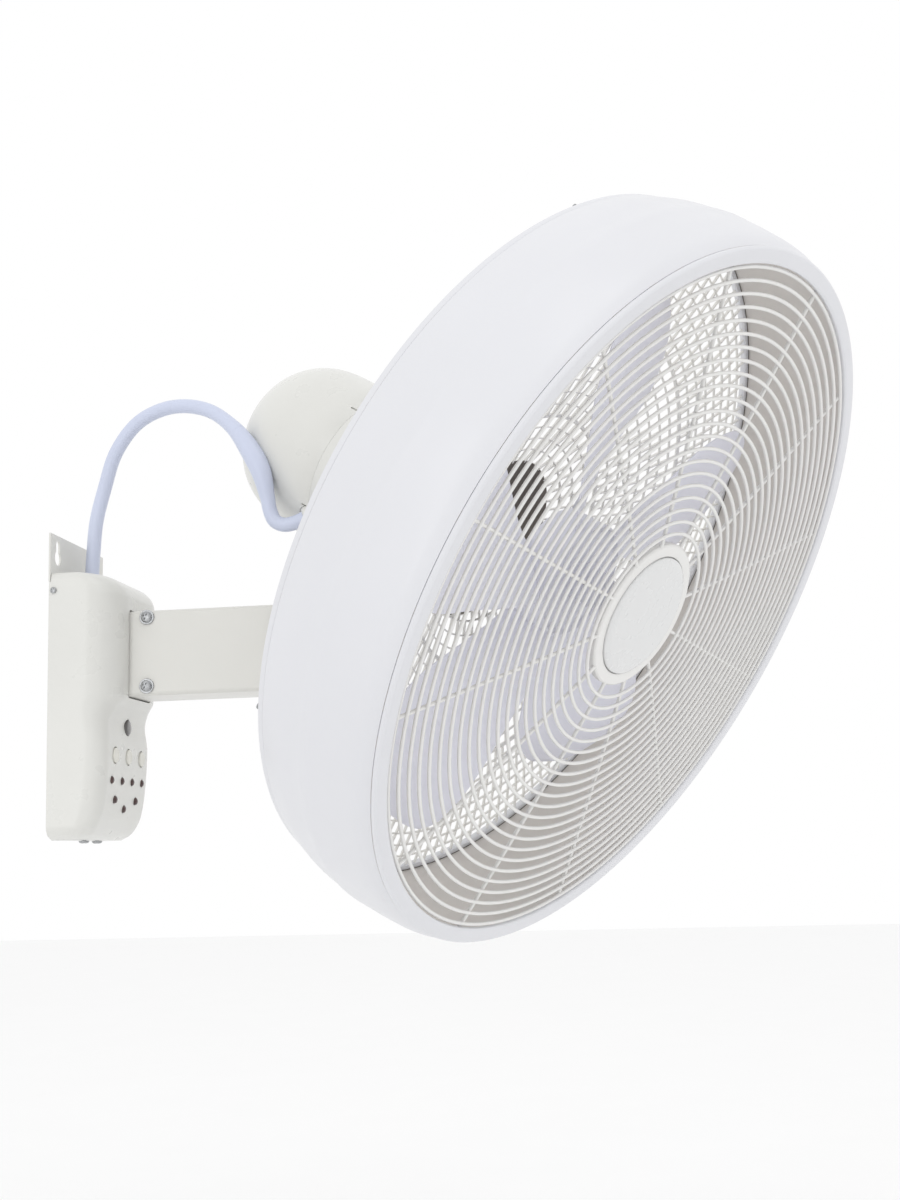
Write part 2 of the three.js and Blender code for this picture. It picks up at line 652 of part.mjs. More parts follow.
// Small geared motor that swings the head, hung beside the swing post on one leg.
const PINION_Y = PINION_SPACING;
const GEAR_LOW_IN_HEAD = GEAR_LOW - NECK_RISE;
const GEAR_HIGH_IN_HEAD = GEAR_HIGH - NECK_RISE;

function swingMotor() {
  const low = GEAR_HIGH_IN_HEAD + 1.2;
  const can = rod('z', 20, 13, [0, PINION_Y + 4, low + 6.5], 24);
  const ear = block([14.5, 3, low], [21, PINION_Y + 4, low + 3]);
  const leg = block([15, 2, GEAR_LOW_IN_HEAD - 0.1], [21, 8, low + 3]);
  return cut(join(can, ear, leg), rod('z', 2.8, 12, [0, PINION_Y, low], 12));
}

function swingPinion() {
  const wheel = rod('z', PINION_RADIUS, GEAR_HIGH_IN_HEAD - GEAR_LOW_IN_HEAD,
    [0, 0, (GEAR_HIGH_IN_HEAD + GEAR_LOW_IN_HEAD) / 2], 20);
  return join(wheel, rod('z', 2.5, 9, [0, 0, GEAR_HIGH_IN_HEAD + 1], 12)).translate([0, PINION_Y, 0]);
}

// ---------------------------------------------------------------- guards and shroud, in the head frame

const GUARD_FLAT_Y = -136.4;
const GUARD_DISH = 33;

// Depth of the rear guard's wires at a radius: dished toward the motor near its middle.
function guardY(radius) {
  const rise = Math.max(0, 1 - (radius - GUARD_HUB_RADIUS) / 166);
  return GUARD_FLAT_Y + GUARD_DISH * rise * rise;
}

// Depth of the front grille's rings at a radius.
function grilleY(radius) {
  const share = (radius / 240) ** 2;
  return -229 + 7.9 * share - 2.1 * share * share;
}

// Straight three-sided bars across the Y axis, their sharp edge toward the room.
// Each station along a bar is [radius, y of the sharp edge, y of the flat back, half width].
function spokes(count, phase, stations) {
  return Array.from({ length: count }, (_, i) => {
    const angle = (phase + (i * 360) / count) * deg;
    const [sin, cos] = [Math.sin(angle), Math.cos(angle)];
    const at = (radius, offset, y) => [radius * sin + offset * cos, y, radius * cos - offset * sin];
    return loft(stations.map(([radius, edge, back, half]) => [
      at(radius, 0, edge), at(radius, half, back), at(radius, -half, back)]));
  });
}

// A three-sided ring whose flat face looks toward the room and whose sharp edge bites into the bars.
function wireRing(radius, face, edge, half, sides) {
  return turned([[radius - half, face], [radius + half, face], [radius, edge], [radius - half, face]], sides);
}

function rearGuard() {
  const rim = turned([[236.5, -138.5], [242, -138.5], [242, -134.6], [240.6, -133.8], [236.5, -133.8],
    [236.5, -138.5]], 48);
  const hub = hoop(22, GUARD_HUB_RADIUS, MOTOR_FRONT_Y - GAP, MOTOR_FRONT_Y - 3.4, 30);
  const spacing = (238 - GUARD_HUB_RADIUS) / (GUARD_RINGS + 1);
  const wireRadii = Array.from({ length: GUARD_RINGS }, (_, i) => GUARD_HUB_RADIUS + (i + 1) * spacing);
  const stations = [50, ...wireRadii, 238].map((r) => [r, guardY(r) - 1.2, guardY(r) + 1.4, 1.2]);
  const wires = wireRadii.map((r) => wireRing(r, guardY(r) - 1.8, guardY(r) + 0.4, 1.3, 24));
  return join(rim, hub, ...wires, ...spokes(GUARD_RIBS, 3, stations));
}

function shroud() {
  return turned([[237.3, -222.3], [239.5, -222.3], [243.4, -215], [246, -200], [247.4, -185], [248, -178],
    [247.3, -171], [246.2, -156], [242.3, -138.8], [240.1, -138.8], [244, -156], [245.8, -178],
    [243.8, -200], [241.2, -215], [237.3, -222.3]], 36);
}

function frontRim() {
  return turned([[229.5, -225.4], [231, -226.2], [238.5, -226.2], [240, -224.8], [239.6, -222.6],
    [236, -222.6], [236, -219], [234.5, -219], [234.5, -222.6], [229.5, -222.6], [229.5, -225.4]], 36);
}

function frontGrille() {
  const hub = turned([[0, -225.4], [41.2, -225.4], [41.2, -228], [48.2, -228], [49.5, -227], [49.5, -222.6],
    [47.5, -222.6], [47.5, -223.4], [0, -223.4]], 30);
  const spacing = (GRILLE_LAST_RING - GRILLE_FIRST_RING) / (GRILLE_RINGS - 1);
  const rings = Array.from({ length: GRILLE_RINGS }, (_, i) => {
    const radius = GRILLE_FIRST_RING + i * spacing;
    return wireRing(radius, grilleY(radius) - 1.1, grilleY(radius) + 1.3, 1.3, 24);
  });
  const stations = [56, 130, 226.5].map((r) => [r, grilleY(r) + 0.3, grilleY(r) + 3.2, 1.3]);
  const stationsInHub = [[47.6, -226.6, -224, 1.3]];
  const stationsUnderRim = [[229.2, -222.2, -220.2, 1.3], [233, -222.2, -220.2, 1.3]];
  return join(hub, ...rings,
    ...spokes(GRILLE_SPOKES, GRILLE_SPOKE_PHASE_DEG, [...stationsInHub, ...stations, ...stationsUnderRim]));
}

function hubBadge() {
  return turned([[0, -231], [20, -230.9], [39, -230.3], [40.6, -229], [40.6, -225.7], [0, -225.7]], 36);
}

// ---------------------------------------------------------------- fan wheel, in the head frame

const WHEEL_Y = -162;

// One paddle: a thin pitched plate, swept forward from the hub and narrowing to a broad tip with
// rounded corners. The laws of its width and sweep run over a span of 178 mm.
function paddle(phase) {
  const across = 4;
  const along = 8;
  const half = 1;
  const span = 178;
  const cornerLength = 50;
  const front = [];
  const back = [];
  for (let i = 0; i < along; i += 1) {
    const share = i / (along - 1);
    const radius = BLADE_ROOT_RADIUS + (BLADE_TIP_RADIUS - BLADE_ROOT_RADIUS) * (1 - (1 - share) ** 1.35);
    const reach = (radius - BLADE_ROOT_RADIUS) / span;
    const nearTip = Math.max(0, 1 - (BLADE_TIP_RADIUS - radius) / cornerLength);
    const outer = Math.max(0, (reach - 0.5) / 0.5);
    const spread = 22.5 - 15.5 * outer ** 1.5;
    const sweep = 12.5 * Math.sin(Math.min(1, reach / 0.53) * 90 * deg) - 3.6 * outer ** 2;
    const rake = 13.3 - 2.5 * Math.min(1, reach / 0.5);
    for (let j = 0; j < across; j += 1) {
      const s = (2 * j) / (across - 1) - 1;
      const angle = (phase + sweep + s * spread) * deg;
      const r = radius - 11 * nearTip ** 4 * s ** 4;
      const y = WHEEL_Y + rake * s - 3 * (1 - s * s);
      front.push([r * Math.sin(angle), y - half, r * Math.cos(angle)]);
      back.push([r * Math.sin(angle), y + half, r * Math.cos(angle)]);
    }
  }
  const faces = [];
  const offset = front.length;
  const quad = (a, b, c, d) => faces.push(a, b, c, a, c, d);
  for (let i = 0; i + 1 < along; i += 1) {
    for (let j = 0; j + 1 < across; j += 1) {
      const a = i * across + j;
      quad(a, a + 1, a + across + 1, a + across);
      quad(offset + a, offset + a + across, offset + a + across + 1, offset + a + 1);
    }
    const left = i * across;
    const right = left + across - 1;
    quad(left, left + across, offset + left + across, offset + left);
    quad(right, offset + right, offset + right + across, right + across);
  }
  const last = (along - 1) * across;
  for (let j = 0; j + 1 < across; j += 1) {
    quad(j, offset + j, offset + j + 1, j + 1);
    quad(last + j, last + j + 1, offset + last + j + 1, offset + last + j);
  }
  const geometry = new THREE.BufferGeometry();
  geometry.setAttribute('position', new THREE.Float32BufferAttribute([...front, ...back].flat(), 3));
  geometry.setIndex(faces);
  return toSolid(geometry);
}

function bladeWheel() {
  const hub = turned([[SHAFT_RADIUS + GAP, -186], [12, -186], [12, -175], [35, -175], [38, -178], [40, -176],
    [40, -150], [37.5, -150], [37.5, -172], [12, -172], [12, -158], [SHAFT_RADIUS + GAP, -158],
    [SHAFT_RADIUS + GAP, -186]], 30);
  const paddles = Array.from({ length: BLADES }, (_, i) => paddle(BLADE_PHASE_DEG + (i * 360) / BLADES));
  return join(hub, ...paddles);
}

function wheelNut() {
  return turned([[0, -200], [8, -200], [11, -197], [13, -186.3], [SHAFT_RADIUS + GAP, -186.3],
    [SHAFT_RADIUS + GAP, -193], [0, -193]], 20);
}

const SHAFT_END_Y = -192.5;
const SHAFT_BACK_Y = -1;

function rotorShaft() {
  const length = SHAFT_BACK_Y - SHAFT_END_Y;
  return rod('y', SHAFT_RADIUS, length, [0, SHAFT_BACK_Y - length / 2, 0], 20);
}

function headParts() {
  addPiece(head, 'motor_front_casing', frontCasing(), 'shell');
  addPiece(head, 'motor_rear_shell', rearShell(), 'shell');
  addPiece(head, 'cable_gland', cableGland(), 'shell');
  addPiece(head, 'stator_core', statorCore(), 'steel');
  addPiece(head, 'stator_winding_front', endWinding(STATOR_FRONT - GAP, STATOR_FRONT - 10), 'copper');
  addPiece(head, 'stator_winding_rear', endWinding(PLATE_BACK - 2.6, STATOR_BACK + GAP), 'copper');
  addPiece(head, 'rear_bearing_plate', bearingPlate(), 'steel');
  addPiece(head, 'front_bearing', bearing(MOTOR_FRONT_Y + 12.5), 'steel');
  addPiece(head, 'rear_bearing', bearing(PLATE_BACK + 7.5), 'steel');
  addPiece(head, 'swing_motor', swingMotor(), 'steel');
  addPiece(head, 'swing_pinion', swingPinion(), 'brass');
  addPiece(head, 'rear_guard', rearGuard(), 'paint');
  addPiece(head, 'shroud', shroud(), 'drum');
  addPiece(head, 'front_rim', frontRim(), 'drum');
  addPiece(head, 'front_grille', frontGrille(), 'paint');
  addPiece(head, 'hub_badge', hubBadge(), 'shell');
  addPiece(head, 'rotor_shaft', rotorShaft(), 'steel');
  addPiece(head, 'rotor_core', hoop(SHAFT_RADIUS + GAP, ROTOR_RADIUS, STATOR_BACK, STATOR_FRONT, 24), 'steel');
  addPiece(head, 'blade_wheel', bladeWheel(), 'blade');
  addPiece(head, 'wheel_nut', wheelNut(), 'blade');
}

baseParts();
fasteners();
neckParts();
headParts();

export default fan;
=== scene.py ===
from math import cos, pi, radians, sin, sqrt

import bmesh
import bpy
from mathutils import Matrix, Vector


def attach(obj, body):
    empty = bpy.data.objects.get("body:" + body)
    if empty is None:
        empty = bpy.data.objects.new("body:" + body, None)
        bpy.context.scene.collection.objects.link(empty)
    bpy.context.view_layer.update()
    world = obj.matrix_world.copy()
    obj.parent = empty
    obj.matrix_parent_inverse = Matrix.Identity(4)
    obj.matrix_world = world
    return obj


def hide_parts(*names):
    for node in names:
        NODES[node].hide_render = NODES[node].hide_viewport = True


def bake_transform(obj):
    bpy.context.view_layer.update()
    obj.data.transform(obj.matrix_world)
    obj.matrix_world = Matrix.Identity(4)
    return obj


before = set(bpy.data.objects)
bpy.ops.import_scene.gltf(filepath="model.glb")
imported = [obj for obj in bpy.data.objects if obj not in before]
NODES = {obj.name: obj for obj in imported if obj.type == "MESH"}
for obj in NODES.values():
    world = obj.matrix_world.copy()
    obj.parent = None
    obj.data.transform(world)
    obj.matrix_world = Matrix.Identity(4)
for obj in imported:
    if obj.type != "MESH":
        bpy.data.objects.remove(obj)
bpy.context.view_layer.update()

MM = 0.001

# Sizes below are millimetres, in the part's own frame: the wall is Y = 0, the room lies toward -Y.
TILT_PIVOT = (0, -156.7, 40)
TILT = radians(34)
SWING = radians(-19)
NECK_LENGTH = 125
BASE = Matrix.Identity(4)
NECK = Matrix.Translation(TILT_PIVOT) @ Matrix.Rotation(TILT, 4, "X")
HEAD = NECK @ Matrix.Translation((0, 0, NECK_LENGTH)) @ Matrix.Rotation(SWING, 4, "Z")
MOTOR = HEAD @ Matrix.Translation((0, 0, -7))
Y_TO_Z = Matrix.Rotation(radians(90), 4, "X")
MINUS_Y_TO_Z = Matrix.Rotation(radians(-90), 4, "X")


# ---------------------------------------------------------------- camera

# Place in metres; yaw, pitch and roll in degrees.
CAMERA_PLACE = (-1.1112, -0.4395, -0.126)
CAMERA_TURN = (8.64, 8.965, -1.456)


def add_camera():
    yaw, pitch, roll = (radians(angle) for angle in CAMERA_TURN)
    forward = Vector((cos(pitch) * cos(yaw), cos(pitch) * sin(yaw), sin(pitch)))
    level = Vector((sin(yaw), -cos(yaw), 0))
    below = forward.cross(level)
    right = level * cos(roll) - below * sin(roll)
    down = level * sin(roll) + below * cos(roll)
    data = bpy.data.cameras.new("camera")
    data.sensor_fit = "VERTICAL"
    data.sensor_height = 24
    data.lens = 33
    data.clip_start = 0.01
    camera = bpy.data.objects.new("camera", data)
    turn = Matrix((right, -down, -forward)).transposed().to_4x4()
    camera.matrix_world = Matrix.Translation(CAMERA_PLACE) @ turn
    bpy.context.scene.collection.objects.link(camera)
    bpy.context.scene.camera = camera


add_camera()


# ---------------------------------------------------------------- materials

def new_material(name, roughness, metallic=0.0, specular=0.5, coat=0.0):
    material = bpy.data.materials.new(name)
    material.use_nodes = True
    tree = material.node_tree
    shader = tree.nodes["Principled BSDF"]
    shader.inputs["Roughness"].default_value = roughness
    shader.inputs["Metallic"].default_value = metallic
    shader.inputs["Specular IOR Level"].default_value = specular
    shader.inputs["Coat Weight"].default_value = coat
    shader.inputs["Coat Roughness"].default_value = 0.18
    place = tree.nodes.new("ShaderNodeTexCoord")
    return material, tree, shader, place.outputs["Object"]


# Noise in the object's own space; stretch scales it along each axis, as on drawn metal.
def noise(tree, place, scale, detail=3.0, stretch=None):
    if stretch:
        mapping = tree.nodes.new("ShaderNodeMapping")
        mapping.inputs["Scale"].default_value = stretch
        tree.links.new(place, mapping.inputs["Vector"])
        place = mapping.outputs["Vector"]
    node = tree.nodes.new("ShaderNodeTexNoise")
    node.inputs["Scale"].default_value = scale
    node.inputs["Detail"].default_value = detail
    tree.links.new(place, node.inputs["Vector"])
    return node.outputs["Fac"]


def ramp(tree, source, stops):
    node = tree.nodes.new("ShaderNodeValToRGB")
    points = node.color_ramp.elements
    while len(points) < len(stops):
        points.new(0.5)
    for point, (at, colour) in zip(points, stops):
        point.position = at
        point.color = (*colour, 1)
    tree.links.new(source, node.inputs["Fac"])
    return node.outputs["Color"]


# Opens the middle of a noise out to a range of values.
def spread(tree, source, low, high):
    node = tree.nodes.new("ShaderNodeMapRange")
    node.inputs["From Min"].default_value = 0.3
    node.inputs["From Max"].default_value = 0.7
    node.inputs["To Min"].default_value = low
    node.inputs["To Max"].default_value = high
    tree.links.new(source, node.inputs["Value"])
    return node.outputs["Result"]


def bump(tree, shader, source, depth, strength):
    node = tree.nodes.new("ShaderNodeBump")
    node.inputs["Distance"].default_value = depth
    node.inputs["Strength"].default_value = strength
    tree.links.new(source, node.inputs["Height"])
    tree.links.new(node.outputs["Normal"], shader.inputs["Normal"])


# Moulded plastic or paint: a soft drift of tone, uneven gloss and a fine skin texture.
def skin(name, colour, roughness, grain, depth, drift, coat=0.0, specular=0.5):
    material, tree, shader, place = new_material(name, roughness, 0.0, specular, coat)
    pale = [min(1, c * (1 + drift)) for c in colour]
    deep = [c * (1 - drift) for c in colour]
    tone = ramp(tree, noise(tree, place, 9), [(0.32, deep), (0.5, colour), (0.68, pale)])
    tree.links.new(tone, shader.inputs["Base Color"])
    gloss = spread(tree, noise(tree, place, 55, 5), roughness - 0.04, roughness + 0.04)
    tree.links.new(gloss, shader.inputs["Roughness"])
    bump(tree, shader, noise(tree, place, grain, 2), depth, 0.35)
    return material


# Plated or bare metal with fine drawn lines along one direction.
def metal(name, colour, roughness):
    material, tree, shader, place = new_material(name, roughness, 1.0)
    deep = [c * 0.72 for c in colour]
    tone = ramp(tree, noise(tree, place, 140, 4), [(0.3, deep), (0.62, colour)])
    tree.links.new(tone, shader.inputs["Base Color"])
    lines = noise(tree, place, 300, 4, (1, 1, 12))
    tree.links.new(spread(tree, lines, roughness - 0.08, roughness + 0.12), shader.inputs["Roughness"])
    bump(tree, shader, lines, 0.00003, 0.3)
    return material


# Stacked sheets or wound wire: even bands along the fan axis.
def banded(name, colour, roughness, bands):
    material, tree, shader, place = new_material(name, roughness, 0.9)
    turn = tree.nodes.new("ShaderNodeMapping")
    turn.vector_type = "TEXTURE"
    turn.inputs["Rotation"].default_value = HEAD.to_euler()
    tree.links.new(place, turn.inputs["Vector"])
    wave = tree.nodes.new("ShaderNodeTexWave")
    wave.bands_direction = "Y"
    wave.inputs["Scale"].default_value = bands
    wave.inputs["Distortion"].default_value = 0.4
    tree.links.new(turn.outputs["Vector"], wave.inputs["Vector"])
    tone = ramp(tree, wave.outputs["Fac"], [(0.1, [c * 0.45 for c in colour]), (0.6, colour)])
    tree.links.new(tone, shader.inputs["Base Color"])
    bump(tree, shader, wave.outputs["Fac"], 0.0002, 0.5)
    return material


# Each skin: name, colour, roughness, grain scale, grain depth in metres, drift of tone.
LOOKS = {
    "ivory": skin("ivory_satin", (0.71, 0.71, 0.68), 0.30, 1100, 0.00003, 0.02, coat=0.3),
    "paint": skin("ivory_powder_coat", (0.70, 0.695, 0.66), 0.32, 650, 0.00006, 0.02, coat=0.15),
    "drum": skin("white_gloss", (0.725, 0.73, 0.76), 0.34, 500, 0.00002, 0.01, coat=0.15),
    # Painted shade: a duller, beige copy of the drum's white for the shroud's inner wall, standing in for
    # the shade inside the drum.
    "drum_inside_painted_shade": skin("drum_inner_wall_painted_shade", (0.73, 0.70, 0.67), 0.5, 700, 0.00006, 0.02),
    "guard": skin("guard_plastic", (0.86, 0.85, 0.82), 0.42, 800, 0.00004, 0.015),
    "wire": skin("coated_wire", (0.80, 0.795, 0.78), 0.32, 700, 0.00003, 0.015, coat=0.1),
    "blade": skin("blade_plastic", (0.85, 0.855, 0.945), 0.36, 600, 0.00003, 0.015, coat=0.1),
    "button": skin("button_plastic", (0.77, 0.76, 0.70), 0.34, 900, 0.00003, 0.02),
    "badge": skin("badge_plate", (0.74, 0.745, 0.745), 0.28, 500, 0.00002, 0.012, coat=0.2),
    "cable": skin("cable_sheath", (0.60, 0.645, 0.79), 0.34, 420, 0.00006, 0.025, specular=0.55),
    # Painted shade: a dark brown skin that stands in for the deep shade before the motor and in narrow
    # gaps.
    "shade": skin("painted_shade_dark_brown", (0.13, 0.11, 0.09), 0.55, 700, 0.00008, 0.12),
    "dark": skin("dark_plastic", (0.022, 0.02, 0.021), 0.45, 900, 0.00004, 0.2),
    "window": skin("receiver_lens", (0.10, 0.095, 0.095), 0.12, 300, 0.00001, 0.1, coat=0.5),
    "lamp": skin("lamp_lens", (0.045, 0.008, 0.006), 0.10, 300, 0.00001, 0.2, coat=0.8),
    "board": skin("board_lacquer", (0.02, 0.11, 0.05), 0.3, 500, 0.00005, 0.15, coat=0.3),
    "zinc": metal("zinc_plate", (0.46, 0.47, 0.48), 0.28),
    "brass": metal("turned_brass", (0.72, 0.54, 0.25), 0.28),
    "core": banded("laminations", (0.30, 0.30, 0.32), 0.45, 260),
    "copper": banded("wound_copper", (0.55, 0.22, 0.08), 0.35, 180),
}


# ---------------------------------------------------------------- shapes as (vertices, faces)

def moved(shape, matrix):
    return [tuple(matrix @ Vector(v)) for v in shape[0]], shape[1]


def merged(*shapes):
    vertices, faces = [], []
    for points, polygons in shapes:
        start = len(vertices)
        vertices += points
        faces += [tuple(i + start for i in polygon) for polygon in polygons]
    return vertices, faces


# Takes the corners off a polyline of [radius, y] points with short curves.
def eased(profile, size, steps=3):
    closed = profile[0] == profile[-1]
    points = [Vector(p) for p in (profile[:-1] if closed else profile)]
    out = []
    for i, corner in enumerate(points):
        if not closed and i in (0, len(points) - 1):
            out.append(tuple(corner))
            continue
        before, after = points[i - 1] - corner, points[(i + 1) % len(points)] - corner
        near = corner + before.normalized() * min(size, before.length * 0.45)
        far = corner + after.normalized() * min(size, after.length * 0.45)
        for k in range(steps + 1):
            t = k / steps
            out.append(tuple(near * (1 - t) ** 2 + corner * 2 * t * (1 - t) + far * t * t))
    return out + [out[0]] if closed else out


# Solid of revolution about Y through [radius, y] points.
def lathe(profile, sides=96):
    closed = profile[0] == profile[-1]
    rows, vertices, faces = [], [], []
    for r, y in (profile[:-1] if closed else profile):
        if r < 1e-6:
            rows.append([len(vertices)] * sides)
            vertices.append((0, y, 0))
            continue
        rows.append(list(range(len(vertices), len(vertices) + sides)))
        vertices += [(r * sin(2 * pi * i / sides), y, r * cos(2 * pi * i / sides)) for i in range(sides)]
    if closed:
        rows.append(rows[0])
    for a, b in zip(rows, rows[1:]):
        for i in range(sides):
            j = (i + 1) % sides
            quad = [a[i], a[j], b[j], b[i]]
            faces.append(tuple(dict.fromkeys(quad)))
    return vertices, [f for f in faces if len(f) > 2]


def rod(axis, radius, length, centre, sides=48):
    end = length / 2
    shape = lathe([(0, -end), (radius, -end), (radius, end), (0, end)], sides)
    turn = {"x": Matrix.Rotation(radians(90), 4, "Z"), "y": Matrix.Identity(4), "z": Y_TO_Z}[axis]
    return moved(shape, Matrix.Translation(centre) @ turn)


def block(low, high):
    (x0, y0, z0), (x1, y1, z1) = low, high
    vertices = [(x, y, z) for x in (x0, x1) for y in (y0, y1) for z in (z0, z1)]
    faces = [(0, 1, 3, 2), (4, 6, 7, 5), (0, 4, 5, 1), (2, 3, 7, 6), (0, 2, 6, 4), (1, 5, 7, 3)]
    return vertices, faces


# Closed skin through equal outlines.
def loft(sections):
    count = len(sections[0])
    vertices = [tuple(p) for section in sections for p in section]
    faces = []
    for level in range(len(sections) - 1):
        for i in range(count):
            a, b = level * count + i, level * count + (i + 1) % count
            faces.append((a, b, b + count, a + count))
    faces.append(tuple(reversed(range(count))))
    faces.append(tuple(range((len(sections) - 1) * count, len(sections) * count)))
    return vertices, faces


def rounded_outline(half, low, high, radius, steps=8):
    outline = []
    corners = [(half - radius, high - radius, 0), (-half + radius, high - radius, 90),
               (-half + radius, low + radius, 180), (half - radius, low + radius, 270)]
    for x, z, start in corners:
        for i in range(steps + 1):
            angle = radians(start + 90 * i / steps)
            outline.append((x + radius * cos(angle), z + radius * sin(angle)))
    return outline


def rounded_tube(half, low, high, radius, back, front):
    outline = rounded_outline(half, low, high, radius)
    return loft([[(x, y, z) for x, z in outline] for y in (back, front)])


# Round bar through a list of points, with its own radius at each point.
def tube(points, radii, sides=20):
    sections = []
    across = None
    for i, point in enumerate(points):
        ahead = (points[min(i + 1, len(points) - 1)] - points[max(i - 1, 0)]).normalized()
        if across is None:
            across = ahead.orthogonal().normalized()
        across = (across - ahead * across.dot(ahead)).normalized()
        other = ahead.cross(across)
        r = radii[i]
        turns = [2 * pi * k / sides for k in range(sides)]
        sections.append([point + across * r * cos(a) + other * r * sin(a) for a in turns])
    return loft(sections)


# Wire bent to a circle about the fan axis; depth is its half size along that axis.
def ring(radius, y, wire, sides, round_steps, depth=None):
    depth = depth or wire
    profile = [(radius + wire * cos(2 * pi * k / round_steps), y + depth * sin(2 * pi * k / round_steps))
               for k in range(round_steps)]
    return lathe(profile + [profile[0]], sides)


# Straight bar across the fan axis: stations are (radius, y), half width and half depth are constant.
def radial_bar(angle, stations, half, depth, sides):
    sine, cosine = sin(radians(angle)), cos(radians(angle))
    sections = []
    for r, y in stations:
        section = []
        for k in range(sides):
            a = 2 * pi * (k + 0.5) / sides
            offset = half * cos(a)
            section.append((r * sine + offset * cosine, y + depth * sin(a), r * cosine - offset * sine))
        sections.append(section)
    return loft(sections)


# ---------------------------------------------------------------- objects

def new_object(name, shape, place=BASE):
    mesh = bpy.data.meshes.new(name)
    mesh.from_pydata([tuple((place @ Vector(v)) * MM) for v in shape[0]], [], shape[1])
    work = bmesh.new()
    work.from_mesh(mesh)
    bmesh.ops.recalc_face_normals(work, faces=work.faces)
    work.to_mesh(mesh)
    work.free()
    obj = bpy.data.objects.new(name, mesh)
    bpy.context.scene.collection.objects.link(obj)
    return obj


# Cuts or joins whole shapes, then keeps the result as plain mesh.
def boolean(obj, shape, place=BASE, operation="DIFFERENCE"):
    tool = new_object(obj.name + "_tool", shape, place)
    modifier = obj.modifiers.new("boolean", "BOOLEAN")
    modifier.operation = operation
    modifier.solver = "EXACT"
    modifier.object = tool
    settle(obj)
    bpy.data.objects.remove(tool)


# Applies the modifiers, so the object is plain mesh again.
def settle(obj):
    bpy.context.view_layer.update()
    graph = bpy.context.evaluated_depsgraph_get()
    mesh = bpy.data.meshes.new_from_object(obj.evaluated_get(graph))
    obj.modifiers.clear()
    obj.data = mesh


def soften(obj, width):
    modifier = obj.modifiers.new("edges", "BEVEL")
    modifier.width = width * MM
    modifier.segments = 2
    modifier.limit_method = "ANGLE"
    modifier.angle_limit = radians(38)
    modifier.use_clamp_overlap = True
    settle(obj)


def dress(obj, look, angle):
    obj.data.materials.clear()
    obj.data.materials.append(LOOKS[look])
    obj.data.shade_smooth()
    obj.data.set_sharp_from_angle(angle=radians(angle))


# Keeps broad flat faces flat beside their softened edges.
def steady(obj):
    modifier = obj.modifiers.new("steady", "WEIGHTED_NORMAL")
    modifier.weight = 100
    modifier.keep_sharp = True


# Look, body and finish of a piece, and the solids that it stands for.
def finished(obj, look, body, replaced=(), angle=32):
    dress(obj, look, angle)
    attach(obj, body)
    if replaced:
        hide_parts(*replaced)
    return obj


def piece(name, shape, place, look, body, replaced=(), angle=32):
    return finished(new_object(name, shape, place), look, body, replaced, angle)


# ---------------------------------------------------------------- the lead, on the same route as the solid

CABLE_RADIUS = 5
CABLE_SWELL = 2.4
SWELL_START_Y = -115
SWELL_MIDDLE_Z = 152
SWELL_REACH = 34
CABLE_ROUTE = [
    (0, -12.3, 71), (0, -12.3, 86), (0, -13, 98), (-0.5, -15.2, 120.5), (-1, -21.5, 145),
    (-3, -30.5, 170), (-6, -47, 189.5), (-10, -66.5, 197.5), (-14, -85.5, 198), (-19, -106, 191.5),
    (-25, -124, 177), (-30, -136.5, 160.5), (-32.5, -145.7, 143.1), (-31, -150, 124.2),
    (-30, -151.8, 114), (-29.5, -155, 107.5), (-29.5, -161.2, 104.6), (-30, -168.5, 105.3),
    (-30, -176, 108.2),
]
CABLE_SPLIT_SHARE = 0.7
CABLE_PAST_END = 8
GLAND_AXIS = Vector((0, -0.92, 0.39)).normalized()


# Centripetal spline through the points, sampled finely.
def spline(points, steps=24):
    points = [Vector(p) for p in points]
    points = [points[0] * 2 - points[1]] + points + [points[-1] * 2 - points[-2]]
    samples = []
    for p0, p1, p2, p3 in zip(points, points[1:], points[2:], points[3:]):
        d0, d1, d2 = ((b - a).length ** 0.5 for a, b in ((p0, p1), (p1, p2), (p2, p3)))
        t1 = ((p1 - p0) / d0 - (p2 - p0) / (d0 + d1) + (p2 - p1) / d1) * d1
        t2 = ((p2 - p1) / d1 - (p3 - p1) / (d1 + d2) + (p3 - p2) / d2) * d1
        for k in range(steps):
            t = k / steps
            cube = (p1 - p2) * 2 + t1 + t2
            square = (p2 - p1) * 3 - t1 * 2 - t2
            samples.append(p1 + t1 * t + square * t * t + cube * t ** 3)
    return samples + [points[-2]]


# Points at even steps between two shares of a polyline's length.
def stretch_of(samples, start, end, count):
    lengths = [0.0]
    for a, b in zip(samples, samples[1:]):
        lengths.append(lengths[-1] + (b - a).length)
    out = []
    for i in range(count):
        wanted = lengths[-1] * (start + (end - start) * i / (count - 1))
        reached = (n for n, s in enumerate(lengths) if s >= wanted - 1e-9)
        k = max(1, next(reached, len(lengths) - 1))
        share = (wanted - lengths[k - 1]) / (lengths[k] - lengths[k - 1])
        out.append(samples[k - 1].lerp(samples[k], share))
    return out


# The sheath is wider where the lead turns down beside the motor: 0 elsewhere, 1 at the fullest.
def swell(point):
    away = min(1, abs(point.z - SWELL_MIDDLE_Z) / SWELL_REACH)
    return (1 - away * away) ** 2 if point.y < SWELL_START_Y else 0


def add_lead():
    route = spline(CABLE_ROUTE)
    upper = stretch_of(route, 0, CABLE_SPLIT_SHARE, 90)
    lower = stretch_of(route, CABLE_SPLIT_SHARE, 1, 60)
    split = upper[-1]
    lower.append(lower[-1] + GLAND_AXIS * CABLE_PAST_END)
    parts = [
        ("lead_upper", upper, "base", "neck", (0, -14, 98), split, "cable_upper"),
        ("lead_lower", lower, "neck", "head", split, CABLE_ROUTE[-1], "cable_lower"),
    ]
    for name, points, first, second, start, end, node in parts:
        radii = [CABLE_RADIUS + CABLE_SWELL * swell(p) for p in points]
        obj = new_object(name, tube(points, radii, 24))
        dress(obj, "cable", 60)
        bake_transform(obj)
        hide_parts(node)


add_lead()


# ---------------------------------------------------------------- wall plate and box

